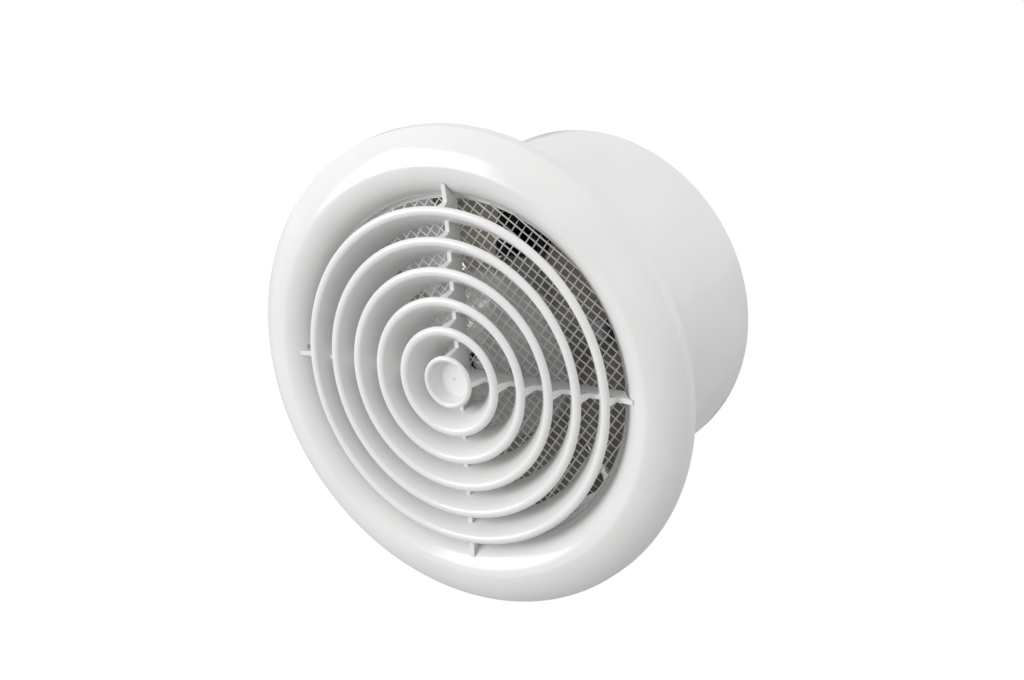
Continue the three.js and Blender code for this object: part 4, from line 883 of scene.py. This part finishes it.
class FAN_OT_net(Operator):
    """Makes the fine insect net with its rim, and the ring that backs it"""
    bl_idname = "fan.net"
    bl_label = "Insect net"

    def execute(self, context):
        s, grille = context.scene.fan_net, context.scene.fan_grille
        outer = grille.neck_radius
        front, back = -s.front, -s.front + s.thickness
        rim = washer(s.reach - s.rim, s.reach, front + 0.15 * MM, back, HAIR)
        reach = s.reach - s.rim / 2
        first, second = front + s.strand * 0.5, front + s.strand * 0.9   # the layers' middles, pressed together
        layers = [swung(self.strands(s, reach, s.pitch, s.shift, first), s.turn),
                  swung(self.strands(s, reach, s.cross_pitch, s.cross_shift, second), s.cross_turn)]
        piece("insect_net_mesh", joined(rim, *layers), "net", "grille", ["insect_net"])
        ring_front = back + SEAT
        ring = washer(outer - s.ring_width, outer, ring_front, ring_front + s.ring_thickness, FINE)
        piece("net_ring_moulding", ring, "white", "grille", ["net_ring"])
        return {"FINISHED"}

    def strands(self, s, reach, pitch, shift, depth):
        """One layer of strands along Z, a pitch apart along X, each cut to the rim's circle. A strand's points
        are its section's cos and sin about a line that strays by two sines of its own, and its ends close."""
        across = np.arange(-int((reach + shift) / pitch), int((reach - shift) / pitch) + 1) * pitch + shift
        stations, sides = 26, 8   # along a strand, and round it
        long = np.sqrt(reach ** 2 - across ** 2)
        run = np.linspace(-1, 1, stations)
        z = long[:, None] * run
        phase = np.arange(len(across))[:, None] * 2.4   # no two neighbours stray alike
        slow, quick = 9 * MM, 3.7 * MM                  # its two waves' lengths over 2 pi
        stray = s.wander * (np.sin(z / slow + phase) + 0.5 * np.sin(z / quick + phase * 1.7))
        turn = np.linspace(0, 2 * math.pi, sides, endpoint=False)
        thick = np.where((np.arange(stations) == 0) | (np.arange(stations) == stations - 1), 0, s.strand / 2)
        x = (across[:, None] + stray)[..., None] + thick[:, None] * np.cos(turn)
        y = depth + thick[:, None] * np.sin(turn) + np.zeros_like(x)
        points = np.stack([x, y, np.broadcast_to(z[..., None], x.shape)], axis=-1)
        one = grid_faces(stations, sides, False, True)
        quads = (one[None] + (np.arange(len(across)) * stations * sides)[:, None, None]).reshape(-1, 4)
        return points.reshape(-1, 3), quads, []


class FAN_OT_impeller(Operator):
    """Makes the impeller with its clip and shaft"""
    bl_idname = "fan.impeller"
    bl_label = "Impeller"

    def execute(self, context):
        s, motor = context.scene.fan_impeller, context.scene.fan_motor
        blades = [swung(self.blade(s), k * 2 * math.pi / s.blades) for k in range(s.blades)]
        body = moved(joined(self.hub(s, motor), *blades), 0, s.nose)
        piece("impeller_moulding", body, "impeller", "impeller", ["impeller"])
        low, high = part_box("impeller_clip")
        clip = washer(motor.shaft + SEAT, high.x, low.y, high.y, 0.15 * MM, SMALL)
        piece("impeller_clip_ring", clip, "black", "impeller", ["impeller_clip"])
        low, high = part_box("motor_shaft")
        piece("motor_shaft_rod", peg(motor.shaft, low.y, high.y, BROAD), "bright", "impeller",
              ["motor_shaft"])
        return {"FINISHED"}

    def dome(self, s, radius, reach):
        """An ellipse's height at a radius: dome - dome * sqrt(1 - (r / reach)^2)."""
        return s.dome - s.dome * np.sqrt(np.clip(1 - (radius / reach) ** 2, 0, 1))

    def hub(self, s, motor):
        """The hub's section: an ellipse from the nose to the skirt, the same less the wall inside it, and a boss
        round the shaft. The ellipse's points stand at even angles, so that its shoulder stays round."""
        share = np.sin(np.linspace(0, QUARTER, 40))
        outer = s.hole_radius + (s.hub_radius - s.hole_radius) * share
        inside = s.hub_radius - s.wall
        inner = s.boss_radius + (inside - s.boss_radius) * share
        back = s.dome + s.skirt
        bore = motor.shaft + SEAT
        return lathe(np.concatenate([
            [(bore, s.boss_front), (s.hole_radius, s.boss_front)],
            np.stack([outer, self.dome(s, outer, s.hub_radius)], axis=-1),
            [(s.hub_radius, s.dome + s.skirt / 3), (s.hub_radius, back - s.skirt / 3), (s.hub_radius, back),
             (inside, back)],
            np.stack([inner, self.dome(s, inner, inside) + s.wall], axis=-1)[::-1],
            [(s.boss_radius, s.boss_back), (bore, s.boss_back)],
        ]), ROUND)

    def blade(self, s):
        """One blade over span and a loop round its section. Depth runs from the front to the back edge, less a
        sine's camber, plus or minus half the thickness, which falls to nothing at both edges as
        sqrt(1 - (2c - 1)^10). Near the tip the chord is drawn in along a quarter ellipse."""
        span = np.linspace(0, 1, 25)[:, None]
        chord = (1 - np.cos(np.linspace(0, math.pi, 33))) / 2   # closer together at the blade's edges
        loop = np.concatenate([chord, chord[-2:0:-1]])
        side = np.where(np.arange(len(loop)) < len(chord), 1.0, -1.0)
        root = s.hub_radius - s.wall / 2
        radius = root + (s.tip_radius - root) * span
        corner = 0.16   # share of the span that the rounded tip takes up
        near = np.clip((span - (1 - corner)) / corner, 0, 1)
        drawn = s.tip_corner * (1 - np.sqrt(1 - near ** 2))
        turn = s.lead - s.lean * span + drawn + (s.sweep - 2 * drawn) * loop
        front = s.dome - (s.root_front + (s.tip_front - s.root_front) * span)
        back = s.dome + s.skirt - s.back_in
        edge = np.sqrt(np.clip(1 - (2 * loop - 1) ** 10, 0, 1))
        camber = np.sin(math.pi * loop) * s.thickness
        y = front + (back - front) * loop - camber + side * edge * s.thickness / 2
        return loft(round_axis(radius, y, turn))


class FAN_OT_motor(Operator):
    """Makes the motor's two pressed shells, its through bolts and the leads' grommet"""
    bl_idname = "fan.motor"
    bl_label = "Motor"

    def execute(self, context):
        s = context.scene.fan_motor
        shell = lathe(self.shell(s), MIDDLE)
        front = moved(shell, 0, s.front)
        points, quads, caps = shell
        rear = moved((points * [1, -1, 1], quads, caps), 0, s.front + s.length)
        piece("motor_front_shell_pressing", front, "steel", "housing", ["motor_front_shell"])
        piece("motor_rear_shell_pressing", rear, "steel", "housing", ["motor_rear_shell"])
        for k in range(4):
            bolt = swung(moved(self.bolt(s), s.bolt_circle), k * QUARTER)
            piece(f"through_bolt_{k + 1}_turned", bolt, "bright", "housing", [f"through_bolt_{k + 1}"])
        low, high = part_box("lead_grommet")
        flange = (high.x - low.x) / 2
        waist = flange - 1.0 * MM
        inside = s.front + s.length - s.shell - SEAT
        outside = s.front + s.length + SEAT
        grommet = moved(lathe(rounded([(0, low.y, 0), (flange, low.y, SOFT), (flange, inside, FINE),
                                       (waist, inside, HAIR), (waist, outside, HAIR),
                                       (flange, outside, FINE), (flange, high.y, SOFT), (0, high.y, 0)]),
                              SMALL), 0, 0, (low.z + high.z) / 2)
        piece("lead_grommet_rubber", grommet, "rubber", "housing", ["lead_grommet"])
        return {"FINISHED"}

    def shell(self, s):
        """A pressed cup from its bearing seat to the split, with the radii that drawing leaves."""
        bore, seat_in = s.shaft + SEAT * 2, s.seat_radius - 1.7 * MM
        lip, split = 0.8 * MM, s.length / 2 - SEAT / 2
        seat_deep = 3.7 * MM
        return rounded([
            (bore, -s.seat_out, 0), (s.seat_radius, -s.seat_out, 0.6 * MM), (s.seat_radius, 0, BROAD),
            (s.radius, 0, 1.4 * MM), (s.radius, split, 0.25 * MM), (s.radius - s.shell, split, 0),
            (s.radius - s.shell, s.shell, 0.4 * MM), (s.seat_radius, s.shell, SOFT),
            (s.seat_radius, seat_deep, 0), (seat_in, seat_deep, 0), (seat_in, lip - s.seat_out, 0),
            (bore, lip - s.seat_out, 0)], 6)

    def bolt(self, s):
        """A through bolt: a round shank with a domed front head and a hexagonal rear nut."""
        front, back = s.front - SEAT, s.front + s.length + SEAT
        shank = peg(s.bolt, front - 0.5 * MM, back + 0.5 * MM, HAIR)
        head = peg(s.bolt_head, front - s.bolt_head_height, front, BROAD)
        nut = lathe(rounded([(0, back, 0), (s.bolt_head, back, 0.15 * MM),
                             (s.bolt_head, back + s.bolt_head_height, 0.25 * MM),
                             (0, back + s.bolt_head_height, 0)]), 6)
        return joined(shank, head, nut)


class FAN_OT_bracket(Operator):
    """Makes the motor bracket, its rubber grommets and all its screws"""
    bl_idname = "fan.bracket"
    bl_label = "Bracket"

    def execute(self, context):
        s, duct, motor = context.scene.fan_bracket, context.scene.fan_duct, context.scene.fan_motor
        back = s.front + s.thickness
        clear = 0.4 * MM   # kept free round the arms' ends, the grommets and the screw heads
        parts = [washer(s.inner_radius, s.outer_radius, s.front, back, BROAD, MIDDLE)]
        arm_end = math.sqrt((duct.radius - duct.wall - clear) ** 2 - (s.arm_width / 2) ** 2)
        arm = rounded_box((s.inner_radius + s.arm_width / 2, s.front, -s.arm_width / 2),
                          (arm_end, back, s.arm_width / 2), BROAD)
        rib = rounded_box((s.grommet_circle + s.grommet_flange + clear, s.front, -s.rib_width / 2),
                          (s.screw_circle - s.head_radius - clear, back + s.rib_height, s.rib_width / 2),
                          0.5 * MM)
        for k in range(4):
            parts += [swung(one, s.arm_lead + k * QUARTER) for one in (arm, rib)]
        piece("motor_bracket_moulding", joined(*parts), "dark", "housing", ["motor_bracket"])

        motor_back = motor.front + motor.length
        grommet_back = back + SEAT + s.flange_thickness
        grommet = lathe(rounded([
            (motor.bolt + SEAT, motor_back + SEAT, 0), (s.grommet_flange, motor_back + SEAT, BROAD),
            (s.grommet_flange, s.front - SEAT, BROAD), (s.grommet_waist, s.front - SEAT, 0),
            (s.grommet_waist, back + SEAT, 0), (s.grommet_flange, back + SEAT, BROAD),
            (s.grommet_flange, grommet_back, BROAD), (motor.bolt + SEAT, grommet_back, 0)]), SMALL)
        # Each kind of screw: its circle, its first one's turn, its head's underside and its front end.
        screws = {"bracket": (s.screw_circle, s.arm_lead, back + SEAT, back + SEAT - s.screw_length),
                  "motor": (s.grommet_circle, EIGHTH, grommet_back + SEAT, motor_back - SCREW_GRIP)}
        for k in range(4):
            turn = EIGHTH + k * QUARTER
            piece(f"vibration_grommet_{k + 1}_rubber", swung(moved(grommet, s.grommet_circle), turn),
                  "rubber", "housing", [f"vibration_grommet_{k + 1}"])
            for place, (circle, lead, under, end) in screws.items():
                head = moved(pan_head(s.head_radius, s.head_height, *CROSS_RECESS), 0, under)
                shank = peg(motor.bolt, end, under + INTO_HEAD, SOFT)
                screw = swung(moved(joined(head, shank), circle), lead + k * QUARTER)
                piece(f"{place}_screw_{k + 1}_zinc", screw, "bright", "housing",
                      [f"{place}_screw_{k + 1}"])
        return {"FINISHED"}


class FAN_OT_terminals(Operator):
    """Makes the terminal cover, the cable bush and the two leads"""
    bl_idname = "fan.terminals"
    bl_label = "Terminal box"

    def execute(self, context):
        s = context.scene.fan_box
        low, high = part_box("terminal_cover")
        lid = rounded_box(tuple(low), tuple(high), 1.3 * MM, 6)
        mould = piece("terminal_cover_moulding", lid, "dark", "housing", ["terminal_cover"])
        past = 2 * MM   # what is cut away reaches this far out of the open front
        inner_low = (low.x + s.wall, low.y - past, low.z + s.wall)
        inner_high = (high.x - s.wall, high.y - s.wall, high.z - s.wall)
        bush_low, bush_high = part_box("cable_bush")
        bush_y = (bush_low.y + bush_high.y) / 2
        ledge = 0.9 * MM   # the bush's flange laps the hole's edge by this
        hole = moved(upright(peg(s.bush_radius - ledge, -3 * MM, 3 * MM, HAIR)), 0, bush_y, low.z)
        cut_away(mould, joined(rounded_box(inner_low, inner_high, 0.6 * MM), hole))
        flange, out = s.bush_radius, s.wall / 2 + SEAT
        waist, lip = s.bush_radius - 1.2 * MM, 1.0 * MM
        bush = lathe(rounded([
            (s.bush_bore, -out - lip, SOFT), (flange - 0.8 * MM, -out - lip, SOFT),
            (flange, -out, HAIR), (waist, -out, 0), (waist, out, 0), (flange, out, HAIR),
            (flange, out + lip, 0.4 * MM), (s.bush_bore, out + lip, SOFT)]), SMALL)
        piece("cable_bush_rubber", moved(upright(bush), 0, bush_y, low.z + s.wall / 2), "rubber",
              "housing", ["cable_bush"])
        for side, node, slot, finish in ((1, "lead_live", "brown_lead", "live"),
                                         (-1, "lead_neutral", "blue_lead", "neutral")):
            piece(f"{node}_wire", tube(self.route(node, side, s.lead_radius), s.lead_radius), finish,
                  "housing", [node])
        return {"FINISHED"}

    def route(self, node, side, radius):
        """From the grommet straight back past the base, then in one smooth bend down to the block: a cosine's
        share of the way over the rest of the run."""
        low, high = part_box(node)
        inner, outer = (low.x + radius, high.x - radius) if side > 0 else (high.x - radius, low.x + radius)
        share = np.linspace(0, 1, 40)
        straight = 0.42   # share of the run before the bend
        bend = np.clip((share - straight) / (1 - straight), 0, 1)
        ease = (1 - np.cos(math.pi * bend)) / 2
        x = inner + (outer - inner) * ease
        y = low.y + (high.y - radius - low.y) * share ** 0.9
        z = high.z - radius + (low.z - (high.z - radius)) * ease
        return np.stack([x, y, z], axis=-1)


KEPT_NODES = {
    "rotor_core": "lamination", "stator_core": "lamination", "rotor_end_ring_front": "aluminium",
    "rotor_end_ring_rear": "aluminium", "thrust_washer_front": "net", "thrust_washer_rear": "net",
    "front_bearing": "brass", "rear_bearing": "brass", "terminal_base": "dark", "terminal_block": "block",
    "cable_clamp": "block", "clamp_screw_1": "bright", "clamp_screw_2": "bright",
    **{f"terminal_screw_{k}": "brass" for k in (1, 2, 3)},
    **{f"stator_coil_{k}": "copper" for k in (1, 2, 3, 4)},
}


class FAN_OT_kept(Operator):
    """Gives the inner pieces that keep their own shape their finishes"""
    bl_idname = "fan.kept"
    bl_label = "Inner pieces"

    def execute(self, context):
        for node, finish in KEPT_NODES.items():
            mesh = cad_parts[node].data
            mesh.materials.clear()
            mesh.materials.append(FINISHES[finish])
        return {"FINISHED"}


# ---------------------------------------------------------------- stage

AIM = Vector((15.87, 0.99, 11.48)) * MM   # the point that the camera looks at
SENSOR = 36                               # millimetres
FLOOR_HALF = 30.0                         # half the floor's width, in metres
FLOOR_PAINT = "#ACACAC"
FLOOR_GLOW = 1.12                         # the floor's own white
FLOOR_SEEN = 0.85                         # how much of that white the camera sees
LAMP_SIZE = 0.7                           # side of a soft box, in metres
LAMP_DISTANCE = 1.3                       # from a soft box to the fan, in metres


def towards(azimuth, elevation):
    """The direction from the fan out to the viewer: (sin a cos e, -cos a cos e, sin e)."""
    return Vector((math.sin(azimuth) * math.cos(elevation), -math.cos(azimuth) * math.cos(elevation),
                   math.sin(elevation)))


class FAN_OT_stage(Operator):
    """Sets the floor, the lamps, the surroundings and the camera"""
    bl_idname = "fan.stage"
    bl_label = "Stage"

    def execute(self, context):
        s = context.scene.fan_stage
        self.camera(context, s)
        self.floor(context, s)
        self.surroundings(context, s)
        self.lamp(context, "Key", s.key_azimuth, s.key_elevation, s.key)
        self.lamp(context, "Side", s.side_azimuth, s.side_elevation, s.side)
        context.scene.view_settings.view_transform = "Standard"
        return {"FINISHED"}

    def camera(self, context, s):
        """The camera looks along the azimuth and elevation at its aim point, rolled about that line."""
        ahead = -towards(s.azimuth, s.elevation)
        right = ahead.cross(Vector((0, 0, 1))).normalized()
        up = right.cross(ahead)
        cos, sin = math.cos(s.roll), math.sin(s.roll)
        right, up = right * cos + up * sin, up * cos - right * sin
        data = bpy.data.cameras.new("Camera")
        data.lens = s.lens
        data.sensor_width = SENSOR
        thing = bpy.data.objects.new("Camera", data)
        turn = Matrix((right, up, -ahead)).transposed().to_4x4()
        thing.matrix_world = Matrix.Translation(AIM - ahead * s.distance) @ turn
        context.scene.collection.objects.link(thing)
        context.scene.camera = thing

    def seen(self, tree):
        """One for a camera or glass ray, part of one for a mirror ray, and nought for light on the fan."""
        path = add(tree, "ShaderNodeLightPath").outputs
        mirror = add(tree, "ShaderNodeMath", {0: path["Is Glossy Ray"], 1: MIRRORED}, operation="MULTIPLY")
        either = add(tree, "ShaderNodeMath", {0: path["Is Camera Ray"], 1: mirror.outputs[0]},
                     operation="MAXIMUM")
        return add(tree, "ShaderNodeMath", {0: either.outputs[0], 1: path["Is Transmission Ray"]},
                   operation="MAXIMUM").outputs[0]

    def floor(self, context, s):
        """A level plane far wider than the view. It is matt white, with enough of its own white seen by the
        camera that it stays pale and still shows a shadow."""
        mesh = bpy.data.meshes.new("floor")
        signs = ((-1, -1), (1, -1), (1, 1), (-1, 1))
        corners = [(x * FLOOR_HALF, y * FLOOR_HALF, -s.floor_drop) for x, y in signs]
        mesh.from_pydata(corners, [], [(0, 1, 2, 3)])
        paint = bpy.data.materials.new("Matt white floor")
        paint.use_nodes = True
        tree = paint.node_tree
        tree.nodes.clear()
        matt = add(tree, "ShaderNodeBsdfDiffuse", {"Color": linear(FLOOR_PAINT)})
        glow = add(tree, "ShaderNodeEmission", {"Color": (1, 1, 1, 1), "Strength": FLOOR_GLOW})
        share = add(tree, "ShaderNodeMath", {0: self.seen(tree), 1: FLOOR_SEEN}, operation="MULTIPLY")
        mix = add(tree, "ShaderNodeMixShader", {0: share.outputs[0], 1: matt.outputs[0], 2: glow.outputs[0]})
        add(tree, "ShaderNodeOutputMaterial", {"Surface": mix.outputs[0]})
        mesh.materials.append(paint)
        thing = bpy.data.objects.new("floor", mesh)
        context.scene.collection.objects.link(thing)

    def surroundings(self, context, s):
        """Even white light from all round at the fill's strength, seen as plain white."""
        world = bpy.data.worlds.new("Studio")
        world.use_nodes = True
        tree = world.node_tree
        tree.nodes.clear()
        light = add(tree, "ShaderNodeBackground", {"Color": (1, 1, 1, 1), "Strength": s.fill})
        white = add(tree, "ShaderNodeBackground", {"Color": (1, 1, 1, 1), "Strength": 1.0})
        mix = add(tree, "ShaderNodeMixShader", {0: self.seen(tree), 1: light.outputs[0], 2: white.outputs[0]})
        add(tree, "ShaderNodeOutputWorld", {"Surface": mix.outputs[0]})
        context.scene.world = world

    def lamp(self, context, name, azimuth, elevation, power):
        """A square soft box that faces the fan."""
        data = bpy.data.lights.new(name, "AREA")
        data.shape = "SQUARE"
        data.size = LAMP_SIZE
        data.energy = power
        thing = bpy.data.objects.new(name, data)
        place = towards(azimuth, elevation) * LAMP_DISTANCE
        thing.matrix_world = Matrix.Translation(place) @ (-place).to_track_quat("-Z", "Y").to_matrix().to_4x4()
        context.scene.collection.objects.link(thing)


class FAN_PT_panel(Panel):
    """Lists the fan's pieces"""
    bl_idname = "FAN_PT_panel"
    bl_label = "Extractor fan"
    bl_space_type = "VIEW_3D"
    bl_region_type = "UI"
    bl_category = "Extractor fan"

    def draw(self, context):
        for step in STEPS:
            self.layout.operator(f"fan.{step}")


STEPS = ("stage", "finishes", "cover", "duct", "grille", "net", "impeller", "motor", "bracket", "terminals",
         "kept")
SETTINGS = {
    "fan_cover": CoverSizes, "fan_duct": DuctSizes, "fan_grille": GrilleSizes, "fan_net": NetSizes,
    "fan_impeller": ImpellerSizes, "fan_motor": MotorSizes, "fan_bracket": BracketSizes, "fan_box": BoxSizes,
    "fan_stage": StageSettings, "fan_colours": FinishColours,
}
CLASSES = (
    *SETTINGS.values(), FAN_OT_stage, FAN_OT_finishes, FAN_OT_cover, FAN_OT_duct, FAN_OT_grille, FAN_OT_net,
    FAN_OT_impeller, FAN_OT_motor, FAN_OT_bracket, FAN_OT_terminals, FAN_OT_kept, FAN_PT_panel,
)


def register():
    for one in CLASSES:
        bpy.utils.register_class(one)
    for name, group in SETTINGS.items():
        setattr(bpy.types.Scene, name, PointerProperty(type=group))


def unregister():
    for name in SETTINGS:
        delattr(bpy.types.Scene, name)
    for one in reversed(CLASSES):
        bpy.utils.unregister_class(one)


def main():
    register()
    for step in STEPS:
        getattr(bpy.ops.fan, step)()


if __name__ == "__main__":
    main()
